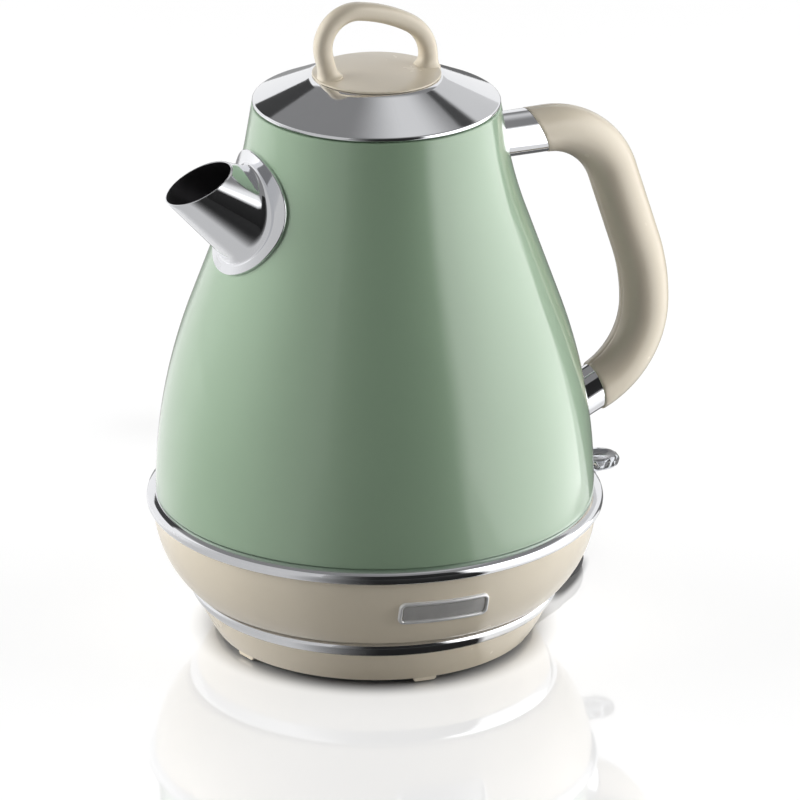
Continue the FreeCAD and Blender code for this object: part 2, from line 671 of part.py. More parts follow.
def make_base_connector():
    keep(turned("base_connector", [
        ("0", "tower_bottom"),
        ("tower_radius", "tower_bottom"),
        ("tower_radius", "deck_under - tower_flange_thickness"),
        ("tower_flange_radius", "deck_under - tower_flange_thickness"),
        ("tower_flange_radius", "deck_under"),
        ("tower_radius", "deck_under"),
        ("tower_radius", "tower_top"),
        ("groove_outer_radius", "tower_top"),
        ("groove_outer_radius", "groove_floor"),
        ("groove_inner_radius", "groove_floor"),
        ("groove_inner_radius", "tower_top"),
        ("centre_bore_radius", "tower_top"),
        ("centre_bore_radius", "centre_bore_floor"),
        ("0", "centre_bore_floor"),
    ]), "base_connector")
    keep(cylinder("base_centre_contact", "centre_bore_radius - fit_gap", "contact_thickness",
                  z="centre_bore_floor"), "base_centre_contact")
    keep(turned("base_ring_contact", box_corners(
        "groove_inner_radius + fit_gap", "groove_outer_radius - fit_gap",
        "groove_floor", "groove_floor + contact_thickness")), "base_ring_contact")


def cord_point(distance, sideways=0.0, lift=0.0):
    """A point along the cord's first direction, measured back from the strain relief's inner end."""
    heading = math.radians(value("cord_heading"))
    forward = Vector(math.cos(heading), math.sin(heading), 0)
    side = Vector(-forward.y, forward.x, 0)
    root = Vector(value("relief_x"), value("relief_y"), value("cord_exit_height") + lift)
    return root - forward * distance + side * sideways


def make_base_wiring():
    """The cord inside the base, its terminal block and the wires from there to the tower."""
    reach = value("inner_lead")
    length = value("terminal_length")
    heading = math.radians(value("cord_heading"))
    backward = Vector(-math.cos(heading), -math.sin(heading), 0)
    shaped("inner_lead_cord", Part.makeCylinder(value("cord_diameter") / 2, reach, cord_point(0), backward))
    terminal = Part.makeBox(length, value("terminal_width"), value("terminal_height"))
    floor = value("base_plate_top")
    turn = FreeCAD.Rotation(Vector(0, 0, 1), value("cord_heading") + 180)
    corner = cord_point(reach, value("terminal_width") / 2)
    corner.z = floor
    block_part = shaped("terminal_block", terminal)
    block_part.Placement = FreeCAD.Placement(corner, turn)
    wires = []
    lift = floor + value("terminal_height") / 2
    tower = value("tower_radius") + value("fit_gap")
    for i in range(WIRE_COUNT):
        sideways = (i - 1) * value("wire_spacing")
        start = cord_point(reach + length / 2, value("terminal_width") / 2)
        start = start - backward * sideways
        start.z = lift
        reach_in = Vector(start.x, start.y, 0).Length
        inward = Vector(-start.x / reach_in, -start.y / reach_in, 0)
        length_in = reach_in - tower - value("wire_gap")
        start = start + inward * value("wire_gap")
        wires.append(Part.makeCylinder(value("wire_radius"), length_in, start, inward))
    shaped("base_wires", Part.makeCompound(wires))


def make_strain_relief():
    thing = doc.addObject("Part::Cone", "strain_relief")
    bind(thing, Radius1="relief_root_radius", Radius2="relief_tip_radius", Height="relief_length")
    lie = FreeCAD.Rotation(Vector(0, 1, 0), 90)
    thing.Placement.Rotation = FreeCAD.Rotation(Vector(0, 0, 1), value("cord_heading")).multiply(lie)
    bind(thing, **{"Placement.Base.x": "relief_x", "Placement.Base.y": "relief_y",
                   "Placement.Base.z": "cord_exit_height"})
    keep(thing, "strain_relief")


# Free cord


def rounded_route(points):
    """Straight runs joined by tangent arcs as large as the runs allow; prints the radii."""
    points = [Vector(*point) for point in points]
    edges = []
    radii = []
    start = points[0]
    for before, corner, after in zip(points, points[1:], points[2:]):
        into = (corner - before).normalize()
        out = (after - corner).normalize()
        half_turn = into.getAngle(out) / 2
        trim = 0.45 * min((corner - before).Length, (after - corner).Length)
        radii.append(trim / math.tan(half_turn))
        first = corner - into * trim
        last = corner + out * trim
        inward = (out - into).normalize()
        middle = corner + inward * radii[-1] * (1 / math.cos(half_turn) - 1)
        edges.append(Part.LineSegment(start, first).toShape())
        edges.append(Part.Arc(first, middle, last).toShape())
        start = last
    edges.append(Part.LineSegment(start, points[-1]).toShape())
    print("cord bend radii, mm:", [round(radius, 1) for radius in radii])
    return Part.Wire(edges)


def tube(path):
    """A round cord along a path."""
    start = path.Edges[0].valueAt(path.Edges[0].FirstParameter)
    ahead = path.Edges[0].tangentAt(path.Edges[0].FirstParameter)
    radius = value("cord_diameter") / 2
    ring = Part.Wire(Part.Circle(start, ahead, radius).toShape())
    solid = path.makePipeShell([ring], True, False)
    wanted = math.pi * radius ** 2 * path.Length
    print("cord stretch, mm:", round(path.Length, 1), "volume ratio:", round(solid.Volume / wanted, 5))
    return solid


def coil_place(angle):
    """A point of the coil: the lower layer spirals in, climbs in a half turn, the upper layer spirals out."""
    sweep = value("coil_layer_sweep")
    pitch = value("coil_pitch")
    inner = value("coil_outer") - pitch * sweep / 360
    climb = min(max((angle - sweep) / 180, 0), 1)
    if angle <= sweep:
        radius = value("coil_outer") - pitch * angle / 360
    else:
        radius = inner + pitch * max(angle - sweep - 180, 0) / 360
    lift = pitch * (climb - math.sin(2 * math.pi * climb) / (2 * math.pi))
    turn = math.radians(angle)
    return Vector(value("coil_x") + radius * math.cos(turn), value("coil_y") + radius * math.sin(turn),
                  value("coil_height") + lift)


def arc_from(start, ahead, end):
    """The arc that leaves start in a direction and reaches end."""
    chord = end - start
    inward = (chord - ahead * chord.dot(ahead)).normalize()
    radius = chord.Length ** 2 / (2 * chord.dot(inward))
    centre = start + inward * radius
    middle = centre + ((start - centre) + (end - centre)).normalize() * radius
    return Part.Arc(start, middle, end).toShape()


def biarc(start, ahead, end, onward):
    """Two arcs that join two points and meet both directions."""
    chord = end - start
    both = ahead + onward
    blend = 2 * (1 - ahead.dot(onward))
    reach = (-chord.dot(both) + math.sqrt(chord.dot(both) ** 2 + blend * chord.dot(chord))) / blend
    joint = (start + end + (ahead - onward) * reach) / 2
    joint_ahead = (end - onward * reach - start - ahead * reach).normalize()
    return [arc_from(start, ahead, joint), arc_from(joint, joint_ahead, end)]


def coil_path():
    """Biarcs of a quarter turn or less along the coil, with a straight end of one cord diameter each side."""
    sweep = value("coil_layer_sweep")
    total = 2 * sweep + 180
    step = 1e-3
    stops = [0]
    for stage_end in (sweep, sweep + 180, total):
        count = math.ceil((stage_end - stops[-1]) / 90)
        stage_start = stops[-1]
        stops += [stage_start + (stage_end - stage_start) * (i + 1) / count for i in range(count)]
    places = [coil_place(angle) for angle in stops]
    ways = [(coil_place(angle + step) - coil_place(angle - step)).normalize() for angle in stops]
    ways[0] = Vector(0, 1, 0)
    ways[-1] = Vector(ways[-1].x, ways[-1].y, 0).normalize()
    straight = value("cord_diameter")
    edges = [Part.LineSegment(places[0] - ways[0] * straight, places[0]).toShape()]
    for i in range(len(stops) - 1):
        edges += biarc(places[i], ways[i], places[i + 1], ways[i + 1])
    edges.append(Part.LineSegment(places[-1], places[-1] + ways[-1] * straight).toShape())
    return Part.Wire(edges)


def self_gap(path, diameter):
    """Least gap of a wound cord to itself, on points along it."""
    spacing = 2.0
    points = path.discretize(Distance=spacing)
    apart = int(4 * diameter / spacing)
    least = min((a - b).Length for i, a in enumerate(points) for b in points[i + apart:])
    return least - diameter


def make_cord():
    winding = coil_path()
    print("coil gap to itself, mm:", round(self_gap(winding, value("cord_diameter")), 2))
    first = winding.Edges[0]
    last = winding.Edges[-1]
    coil_start = first.valueAt(first.FirstParameter)
    coil_end = last.valueAt(last.LastParameter)
    relief_end = cord_point(-value("relief_length"))
    lead_start = cord_point(-value("relief_length") - LEAD_START_RUN)
    lead_end = coil_start - first.tangentAt(first.FirstParameter) * LEAD_END_RUN
    tail_start = coil_end + last.tangentAt(last.LastParameter) * TAIL_START_RUN
    shaped("cord_lead", tube(rounded_route([relief_end, lead_start] + LEAD_BENDS + [lead_end, coil_start])))
    shaped("cord_coil", tube(winding))
    shaped("cord_tail", tube(rounded_route([coil_end, tail_start] + TAIL_BENDS)))


def make_cord_tie():
    """A flat band round all the turns at one place of the coil."""
    azimuth = value("tie_azimuth")
    radius = value("cord_diameter") / 2
    total = 2 * value("coil_layer_sweep") + 180
    middle = Vector(value("coil_x"), value("coil_y"), 0)
    reaches = [(coil_place(azimuth + 360 * i) - middle) for i in range(int((total - azimuth) // 360) + 1)]
    spans = [math.hypot(reach.x, reach.y) for reach in reaches]
    clear = radius + value("tie_gap")
    wall = value("tie_thickness")
    width = value("tie_width")
    near = min(spans) - clear
    far = max(spans) + clear
    low = value("coil_height") - clear
    high = value("coil_height") + value("coil_pitch") + clear
    outer = Part.makeBox(far - near + 2 * wall, width, high - low + 2 * wall,
                         Vector(near - wall, -width / 2, low - wall))
    inner = Part.makeBox(far - near, 2 * width, high - low, Vector(near, -width, low))
    thing = shaped("cord_tie", outer.cut(inner))
    thing.Placement = FreeCAD.Placement(middle, FreeCAD.Rotation(Vector(0, 0, 1), azimuth))


def make_plug():
    """A plug that lies on its back with its pins up, the cord's sleeve at its side."""
    end = Vector(*TAIL_BENDS[-1])
    way = end - Vector(*TAIL_BENDS[-2])
    way = Vector(way.x, way.y, 0).normalize()
    radius = value("plug_radius")
    neck = value("plug_neck")
    middle = Vector(end.x, end.y, 0) + way * (neck + radius)
    body = Part.makeCylinder(radius, value("plug_height"), middle)
    sleeve = Part.makeCone(value("relief_tip_radius"), value("plug_neck_radius"), neck + radius / 2, end, way)
    across = Vector(-way.y, way.x, 0)
    clip_thickness = value("earth_clip_thickness")
    clip_width = value("earth_clip_width")
    clip_low = value("plug_height") - value("earth_clip_height")
    clips = []
    for side in (LEFT, RIGHT):
        clip = Part.makeBox(clip_width, clip_thickness, value("earth_clip_height"),
                            Vector(-clip_width / 2, -clip_thickness / 2, 0))
        heading = math.degrees(math.atan2(way.y, way.x))
        spot = middle + across * (radius - clip_thickness) * side
        clip.Placement = FreeCAD.Placement(Vector(spot.x, spot.y, clip_low),
                                           FreeCAD.Rotation(Vector(0, 0, 1), heading))
        clips.append(clip)
    clip_set = Part.makeCompound(clips)
    shaped("plug_body", body.fuse(sleeve).cut(clip_set))
    shaped("plug_earth_clips", clip_set)
    pins = []
    for side in (LEFT, RIGHT):
        foot = middle + way * value("plug_pin_spacing") / 2 * side
        foot.z = value("plug_height")
        pins.append(Part.makeCylinder(value("plug_pin_radius"), value("plug_pin_length"), foot))
    shaped("plug_pins", Part.makeCompound(pins))


# Socket of the kettle


def make_socket():
    keep(turned("socket_housing", [
        ("0", "socket_roof"),
        ("socket_inner", "socket_roof"),
        ("socket_inner", "cover_bottom"),
        ("socket_outer", "cover_bottom"),
        ("socket_outer", "socket_top"),
        ("0", "socket_top"),
    ]), "socket_housing")
    pin_low = "(centre_bore_floor + contact_thickness + run_gap)"
    ring_low = "(groove_floor + contact_thickness + run_gap)"
    keep(cylinder("socket_pin", "centre_bore_radius - run_gap", f"socket_roof - {pin_low}", z=pin_low),
         "socket_pin")
    keep(turned("socket_ring", box_corners("groove_inner_radius + run_gap", "groove_outer_radius - run_gap",
                                           ring_low, "socket_roof")), "socket_ring")


# Bottom of the kettle

post_places = ring_of("post_circle", SCREW_COUNT, "30")


def skirt_radius(height, inset="0"):
    """Radius of the skirt's side at a height, moved in by the inset."""
    return (f"(skirt_top_radius - skirt_bow + sqrt((skirt_bow - ({inset}))^2"
            f" - (skirt_top_height - ({height}))^2))")


def skirt_band(name, low, high, inner, outer):
    """A band that follows the skirt's side between two insets."""
    return turned(name, [
        (skirt_radius(low, outer), low, f"skirt_bow - ({outer})", LEFT),
        (skirt_radius(high, outer), high),
        (skirt_radius(high, inner), high, f"skirt_bow - ({inner})", RIGHT),
        (skirt_radius(low, inner), low),
    ])


def notch(body, name, low, high):
    """The opening at the back that the lever comes out of."""
    sketch = sketch_on(body, name, "YZ_Plane")
    draw(sketch, box_corners("-notch_width/2", "notch_width/2", low, high))
    extrude(body, "PartDesign::Pocket", sketch, "lever_tip", backwards=True)


def make_skirt():
    skirt = skirt_band("skirt", "skirt_bottom", "skirt_top_height", "skirt_wall", "0")
    notch(skirt, "skirt_notch", "notch_bottom", "skirt_top_height + skirt_wall")
    keep(skirt, "skirt")


def make_upper_trim_ring():
    ledge = "(body_bottom - trim_ring_ledge_drop)"
    ring = turned("upper_trim_ring", [
        ("trim_ring_inner_radius", "skirt_top_height"),
        ("trim_ring_lower_radius", "skirt_top_height", "trim_ring_bow", LEFT),
        ("trim_ring_edge_radius", ledge),
        ("body_bottom_radius", "body_bottom"),
        ("trim_ring_inner_radius", "body_bottom"),
    ])
    notch(ring, "ring_notch", "skirt_top_height - skirt_wall", "body_bottom + skirt_wall")
    keep(ring, "upper_trim_ring")


def badge_pad(name, width, tall, corner):
    """A rounded rectangle carried out along the badge's direction."""
    body = new_body(name)
    sketch = sketch_on(body, name + "_outline", "YZ_Plane")
    left, right = f"-({width})/2", f"({width})/2"
    low, high = f"badge_height - ({tall})/2", f"badge_height + ({tall})/2"
    draw(sketch, [
        (f"{left} + {corner}", low),
        (f"{right} - {corner}", low, corner, LEFT),
        (right, f"{low} + {corner}"),
        (right, f"{high} - {corner}", corner, LEFT),
        (f"{right} - {corner}", high),
        (f"{left} + {corner}", high, corner, LEFT),
        (left, f"{high} - {corner}"),
        (left, f"{low} + {corner}", corner, LEFT),
    ])
    extrude(body, "PartDesign::Pad", sketch, "lever_tip")
    return place(body, heading="badge_azimuth")


def make_badge():
    low = "badge_height - badge_tall"
    high = "badge_height + badge_tall"
    outside = badge_pad("badge_outside", "badge_width", "badge_tall", "badge_corner")
    inside = badge_pad("badge_inside", "badge_width - 2*badge_border", "badge_tall - 2*badge_border",
                       "(badge_corner - badge_border)")
    field = badge_pad("badge_panel", "badge_width - 2*badge_border - 2*fit_gap",
                      "badge_tall - 2*badge_border - 2*fit_gap", "(badge_corner - badge_border - fit_gap)")
    border = cut("badge_border_pad", outside, inside)
    frame_band = skirt_band("badge_frame_band", low, high, "-pin_gap", "-badge_proud")
    field_band = skirt_band("badge_field_band", low, high, "-pin_gap", "-badge_field_proud")
    keep(common("badge_frame", frame_band, border), "badge_frame")
    keep(common("badge_field", field_band, field), "badge_field")


def make_bottom_cover():
    rib_low = "base_deck_top + rib_gap"
    cover = turned("bottom_cover", [
        ("socket_outer + run_gap", "cover_bottom"),
        ("rib_radius", "cover_bottom"),
        ("rib_radius", rib_low),
        ("rib_radius + rib_width", rib_low),
        ("rib_radius + rib_width", "cover_bottom"),
        ("cover_radius", "cover_bottom"),
        ("cover_radius", "cover_top"),
        ("socket_outer + run_gap", "cover_top"),
    ])
    inside = "cover_top - cover_thickness/2"
    pad_circles(cover, "cover_posts", post_places, "post_radius", inside, "control_bottom")
    bore_circles(cover, "cover_holes", post_places, "screw_hole_radius", "cover_bottom", "control_bottom")
    bore_circles(cover, "cover_sinks", post_places, "screw_head_radius + fit_gap", "cover_bottom",
                 "cover_screw_seat")
    keep(cover, "bottom_cover")
    bite = "control_bottom + screw_bite - cover_screw_seat"
    group("cover_screws", [screw(f"cover_screw_{i}", x, y, "cover_screw_seat", bite)
                           for i, (x, y) in enumerate(post_places)])


def make_control_housing():
    housing = turned("control_housing", box_corners("0", "control_radius", "control_bottom", "diffuser_under"))
    bore_circles(housing, "control_bores", post_places, "screw_radius + pin_gap", "control_bottom",
                 "control_bottom + screw_bite + screw_head_height")
    keep(housing, "control_housing")


# Pot


def wall_points(inset, drop="0"):
    """Corners of the pot's wall from bottom to top, moved in by the inset, the top lowered by the drop."""
    top = f"(body_top_height - ({drop}))"
    top_radius = f"(neck_radius - ({top} - neck_height)*tan(neck_lean) - ({inset})/cos(neck_lean))"
    return [
        (f"body_bottom_radius - ({inset})", "body_bottom"),
        (f"belly_end_radius - ({inset})*cos(wall_lean)", f"belly_end_height - ({inset})*sin(wall_lean)"),
        (f"shoulder_radius - ({inset})*cos(wall_lean)", f"shoulder_height - ({inset})*sin(wall_lean)"),
        (f"neck_radius - ({inset})*cos(neck_lean)", f"neck_height - ({inset})*sin(neck_lean)"),
        (top_radius, top),
    ]


def wall_up(inset, drop="0"):
    bottom, belly, shoulder, neck, top = wall_points(inset, drop)
    return [bottom + (f"belly_bow - ({inset})", LEFT), belly, shoulder + (f"shoulder_bow + ({inset})", RIGHT),
            neck, top]


def wall_down(inset, drop="0"):
    bottom, belly, shoulder, neck, top = wall_points(inset, drop)
    neck_arc = neck + (f"shoulder_bow + ({inset})", LEFT)
    belly_arc = belly + (f"belly_bow - ({inset})", RIGHT)
    return [top, neck_arc, shoulder, belly_arc, bottom]


def wall_fill(name, inset):
    """The space inside the pot's wall as a solid."""
    return turned(name, wall_up(inset) + [("0", "body_top_height"), ("0", "body_bottom")])


def wall_skin(name, inner, outer):
    """A layer that follows the pot's wall between two insets."""
    return turned(name, wall_up(outer) + wall_down(inner))


def make_body_shell(tools):
    wall = turned("pot_wall", wall_up("0") + [
        ("lid_opening_radius", "body_top_height"),
        ("lid_opening_radius", "body_top_height - body_wall"),
    ] + wall_down("body_wall", "body_wall"))
    for i, tool in enumerate(tools):
        wall = cut(f"pot_wall_cut_{i}", wall, tool)
    keep(wall, "body_shell")


def make_heater():
    edge = "(body_bottom_radius - body_wall - weld_gap)"
    plate = turned("heater_plate", [
        ("0", "heater_under"),
        (edge, "heater_under"),
        (edge, "heater_under + heater_flange"),
        (f"{edge} - body_wall", "heater_under + heater_flange"),
        (f"{edge} - body_wall", "heater_under + heater_thickness"),
        ("0", "heater_under + heater_thickness"),
    ])
    bore_circles(plate, "heater_hole", [("steam_tube_place", "0")], "steam_tube_radius + fit_gap",
                 "heater_under", "heater_under + heater_thickness")
    keep(plate, "heater_plate")
    keep(cylinder("element_diffuser", "diffuser_radius", "diffuser_thickness", z="diffuser_under"),
         "element_diffuser")
    element_height = "(diffuser_under - element_radius)"
    element = doc.addObject("Part::Torus", "element_ring")
    bind(element, Radius1="element_circle", Radius2="element_radius", Angle3="element_sweep")
    place(element, z=element_height, heading="180 - element_sweep/2")
    for i, side in enumerate(("-1", "1")):
        turn = f"(180 + {side}*(element_sweep/2 - 5))"
        tail = cylinder(f"element_tail_{i}", "tail_radius", "tail_length", x=f"element_circle*cos({turn})",
                        y=f"element_circle*sin({turn})", z=f"{element_height} - tail_length")
        element = fuse(f"element_with_tail_{i}", element, tail)
    keep(element, "heating_element")


def make_steam_tube():
    outside = cylinder("steam_tube_outside", "steam_tube_radius", "steam_tube_top - switch_top",
                       x="steam_tube_place", z="switch_top")
    inside = cylinder("steam_tube_inside", "steam_tube_bore", "steam_tube_top - switch_top",
                      x="steam_tube_place", z="switch_top")
    keep(cut("steam_tube", outside, inside), "steam_tube")


# Switch


def cross_bore(body, name, radius):
    """A bore along Y at the lever's pivot."""
    sketch = sketch_on(body, name, "XZ_Plane")
    draw_circles(sketch, [("pivot_reach", "lever_height")], radius)
    extrude(body, "PartDesign::Pocket", sketch, "2*switch_width", both_ways=True)


def make_switch():
    housing = new_body("switch_housing")
    half = "switch_width/2"
    pad_outline(housing, "switch_block", "XY_Plane",
                box_corners("switch_inner", "switch_outer", f"-{half}", half), "switch_bottom",
                "switch_top - switch_bottom")
    ear_start = "switch_outer - ear_thickness"
    for name, low, high in (("near", f"-{half}", f"-{half} + ear_thickness"),
                            ("far", f"{half} - ear_thickness", half)):
        pad_outline(housing, f"switch_ear_{name}", "XY_Plane", box_corners(ear_start, "ear_end", low, high),
                    "ear_bottom", "heater_under - ear_bottom")
    cross_bore(housing, "switch_bore", "pivot_radius + pin_gap")
    bore_circles(housing, "switch_steam_port", [("steam_tube_place", "0")], "steam_tube_bore",
                 "switch_top - steam_tube_bore", "switch_top")
    keep(housing, "switch_housing")
    keep(cylinder("bimetal_disc", "bimetal_radius", "bimetal_thickness", x="(switch_inner + switch_outer)/2",
                  z="switch_bottom - bimetal_thickness"), "bimetal_disc")
    keep(cylinder("pilot_lamp", "lamp_radius", "lamp_length", x="switch_outer", z="lamp_height", tilt="90"),
         "pilot_lamp")
    pin = doc.addObject("Part::Cylinder", "lever_pin")
    bind(pin, Radius="pivot_radius", Height="switch_width")
    pin.Placement.Rotation = FreeCAD.Rotation(Vector(1, 0, 0), 90)
    bind(pin, **{"Placement.Base.x": "pivot_reach", "Placement.Base.y": half})
    bind(pin, **{"Placement.Base.z": "lever_height"})
    keep(pin, "lever_pin")


def make_switch_lever():
    lever = new_body("switch_lever")
    half = "lever_width/2"
    pad_outline(lever, "lever_tongue", "XY_Plane", [
        ("lever_inner", f"-{half}"),
        (f"lever_tip - {half}", f"-{half}", half, LEFT),
        ("lever_tip", "0", half, LEFT),
        (f"lever_tip - {half}", half),
        ("lever_inner", half),
    ], "lever_height - lever_thickness/2", "lever_thickness")
    cross_bore(lever, "lever_bore", "pivot_radius + pin_gap")
    keep(lever, "switch_lever")


# Handle


def chain(x, z, heading, moves):
    """Corners of an open way: moves are a straight length, or a radius with a turn to the right in degrees."""
    corners = []
    for move in moves:
        if len(move) == 1:
            corners.append((x, z))
            x = f"{x} + ({move[0]})*cos({heading})"
            z = f"{z} + ({move[0]})*sin({heading})"
        else:
            radius, turn = move
            corners.append((x, z, radius, RIGHT))
            after = f"{heading} - ({turn})"
            x = f"{x} + ({radius})*(sin({heading}) - sin({after}))"
            z = f"{z} + ({radius})*(cos({after}) - cos({heading}))"
            heading = after
    return corners + [(x, z)]


grip_moves = [("handle_top_run",), ("handle_upper_bow", "handle_slope"), ("handle_run",),
              ("handle_middle_bow", "90 - handle_slope"), ("handle_lower_bow", "90 - handle_end_rise")]
grip_way = chain("handle_start", "handle_top_height", "0", grip_moves)
upper_tilt = "-90"
lower_tilt = "-90 - handle_end_rise"


def swept(name, way, profile):
    """A body swept along an open way in the XZ plane from a profile on the YZ plane at the way's start."""
    body = new_body(name)
    path = sketch_on(body, name + "_way", "XZ_Plane")
    draw(path, way, closed=False)
    section = sketch_on(body, name + "_section", "YZ_Plane", way[0][0])
    profile(section)
    pipe = body.newObject("PartDesign::AdditivePipe", name + "_sweep")
    pipe.Profile = section
    pipe.Spine = (path, [f"Edge{i + 1}" for i in range(len(way) - 1)])
    return body


def grip_half(side):
    """Half a hollow round section on one side of the handle's middle plane."""
    outer = "grip_radius"
    inner = "(grip_radius - grip_wall)"
    sign = "" if side == LEFT else "-"
    middle = "handle_top_height"

    def profile(section):
        draw(section, [
            ("0", f"{middle} - {outer}", outer, side),
            (f"{sign}{outer}", middle, outer, side),
            ("0", f"{middle} + {outer}"),
            ("0", f"{middle} + {inner}", inner, -side),
            (f"{sign}{inner}", middle, inner, -side),
            ("0", f"{middle} - {inner}"),
        ])
    return profile


def core_section(section):
    draw_circles(section, [("0", "handle_top_height")], "core_radius")


def on_axis(name, radius, length, end, start="0"):
    """A cylinder on the axis of a handle end, from a distance inwards of the grip's end towards the pot."""
    if end == "upper":
        return cylinder(name, radius, length, x=f"handle_start - ({start})", z="handle_top_height",
                        tilt=upper_tilt)
    return cylinder(name, radius, length, x=f"grip_end_x - ({start})*cos(handle_end_rise)",
                    z=f"grip_end_z - ({start})*sin(handle_end_rise)", tilt=lower_tilt)


head_seat = {
    "upper": "(handle_start - upper_wall + seal_thickness)",
    "lower": "(lower_ferrule_length + body_wall/cos(handle_end_rise) + seal_thickness)",
}


def make_handle():
    for name, side in (("handle_shell_left", LEFT), ("handle_shell_right", RIGHT)):
        keep(swept(name, grip_way, grip_half(side)), name)
    core_moves = [("handle_top_run + core_lead",)] + grip_moves[1:] + [("core_lead",)]
    core_way = chain("handle_start - core_lead", "handle_top_height", "0", core_moves)
    core = swept("handle_core_rod", core_way, core_section)
    for end in ("upper", "lower"):
        bore = on_axis(f"core_bore_{end}", "stud_radius + pin_gap", "core_bore_depth + core_lead", end,
                       "-core_bore_depth")
        core = cut(f"handle_core_{end}", core, bore)
    keep(core, "handle_core")


def make_ferrules(pot):
    for end in ("upper", "lower"):
        outside = on_axis(f"{end}_ferrule_outside", "ferrule_radius", head_seat[end], end)
        inside = on_axis(f"{end}_ferrule_inside", "ferrule_radius - ferrule_wall", head_seat[end], end)
        sleeve = cut(f"{end}_ferrule_sleeve", outside, inside)
        keep(cut(f"{end}_ferrule", sleeve, pot), f"{end}_ferrule")


def make_handle_screws(space):
    screws = []
    seals = []
    for end in ("upper", "lower"):
        seat = head_seat[end]
        head = on_axis(f"{end}_stud_head", "stud_head_radius", "stud_head_height", end, seat)
        thread = on_axis(f"{end}_stud_thread", "stud_radius", f"{seat} + stud_bite", end, "-stud_bite")
        screws.append(fuse(f"{end}_stud", head, thread))
        seal_start = f"{seat} - 2*seal_thickness"
        disc = on_axis(f"{end}_seal_disc", "seal_radius", "2*seal_thickness", end, seal_start)
        hole = on_axis(f"{end}_seal_hole", "stud_radius + fit_gap", "2*seal_thickness", end, seal_start)
        seals.append(common(f"{end}_seal", cut(f"{end}_seal_ring", disc, hole), space))
    group("handle_screws", screws)
    group("handle_seals", seals)


# Spout and filter

spout_tilt = "spout_rise - 90"


def spout_cone(name, inset):
    """The spout's cone, moved in by the inset, longer than the spout at both ends."""
    shrink = f"({inset})/cos(spout_flare)"
    return cone(name, f"spout_mouth_radius + spout_depth*tan(spout_flare) - {shrink}",
                f"spout_mouth_radius - spout_lead*tan(spout_flare) - {shrink}", "spout_depth + spout_lead",
                x="-spout_reach + spout_depth*cos(spout_rise)", z="spout_height - spout_depth*sin(spout_rise)",
                tilt=spout_tilt)


def wall_drum(name, radius):
    """A round block square to the pot's wall where the spout leaves it."""
    return cylinder(name, radius, "2*flange_radius", x="root_x + flange_radius*cos(wall_lean)",
                    z="root_z - flange_radius*sin(wall_lean)", tilt="wall_lean - 90")


def make_spout(pot, bore):
    outside = spout_cone("spout_outside", "0")
    above_mouth = cylinder("spout_above_mouth", "2*flange_radius", "2*flange_radius", x="-spout_reach",
                           z="spout_height", tilt="-spout_mouth_tilt")
    flange = common("spout_flange", wall_skin("flange_skin", "-fit_gap", "-flange_thickness"),
                    wall_drum("flange_drum", "flange_radius"))
    whole = fuse("spout_whole", cut("spout_past_wall", outside, pot), flange)
    hollow = cut("spout_hollow", whole, bore)
    keep(cut("spout", hollow, above_mouth), "spout")


def make_filter():
    inner_face = "body_wall + run_gap + filter_thickness"
    outer_face = "body_wall + run_gap"
    layer = wall_skin("filter_layer", inner_face, outer_face)
    disc = common("filter_disc", layer, wall_drum("filter_drum", "filter_radius"))
    window = wall_drum("filter_window", "filter_radius - filter_border")
    keep(cut("filter_frame", disc, window), "filter_frame")
    mesh_outer = f"{outer_face} + (filter_thickness - mesh_thickness)/2"
    mesh_layer = wall_skin("mesh_layer", f"{mesh_outer} + mesh_thickness", mesh_outer)
    keep(common("filter_mesh", mesh_layer, wall_drum("mesh_drum", "filter_radius - filter_border - fit_gap")),
         "filter_mesh")


# Lid

loop_way = chain("-loop_front + loop_sink*tan(loop_lean)", "loop_root", "90 + loop_lean", [
    ("loop_front_leg + loop_sink/cos(loop_lean)",),
    ("loop_front_bow", "90 + loop_lean + loop_crest_fall"),
    ("loop_top_bow", "loop_back_fall - loop_crest_fall"),
    ("loop_back_bow", "loop_back_lean - loop_back_fall"),
])
loop_back_x, loop_back_z = loop_way[-1]
loop_way.append((f"{loop_back_x} - ({loop_back_z} - loop_root)*tan(loop_back_lean - 90)", "loop_root"))
loop_back = f"({loop_way[-1][0]} + loop_sink*tan(loop_back_lean - 90))"
loop_feet = [("-loop_front", "0"), (loop_back, "0")]


def make_lid_shell():
    rim_out = "lid_rim_radius - lid_lip"
    shell = turned("lid_shell", [
        ("liner_radius + fit_gap", "lid_low"),
        (rim_out, "lid_low", "lid_lip", LEFT),
        ("lid_rim_radius", "lid_low + lid_lip", "lid_lip", LEFT),
        (rim_out, "lid_low + 2*lid_lip"),
        ("disc_radius + cone_margin", "lid_top_height"),
        ("0", "lid_top_height"),
        ("0", "lid_under"),
        ("disc_radius", "lid_under"),
        (f"{rim_out} - lid_wall", "lid_low + lid_wall"),
        ("liner_radius + fit_gap", "lid_low + lid_wall"),
    ])
    bore_circles(shell, "lid_screw_holes", loop_feet, "screw_hole_radius", "lid_under", "lid_top_height")
    keep(shell, "lid_shell")


def make_lid_liner():
    floor = "(lid_low - liner_depth)"
    seat = "(lid_low + lid_wall)"
    keep(turned("lid_liner", [
        ("0", floor),
        ("liner_radius", floor),
        ("liner_radius", seat),
        ("liner_radius + liner_lip", seat),
        ("liner_radius + liner_lip", f"{seat} + lid_wall*0.8"),
        ("liner_radius - lid_wall", f"{seat} + lid_wall*0.8"),
        ("liner_radius - lid_wall", f"{floor} + lid_wall"),
        ("0", f"{floor} + lid_wall"),
    ]), "lid_liner")
    gasket_low = f"({floor} + gasket_height)"
    gasket_inside = "liner_radius + pin_gap"
    keep(turned("lid_gasket", box_corners(gasket_inside, f"{gasket_inside} + gasket_thickness", gasket_low,
                                          f"{gasket_low} + gasket_height")), "lid_gasket")


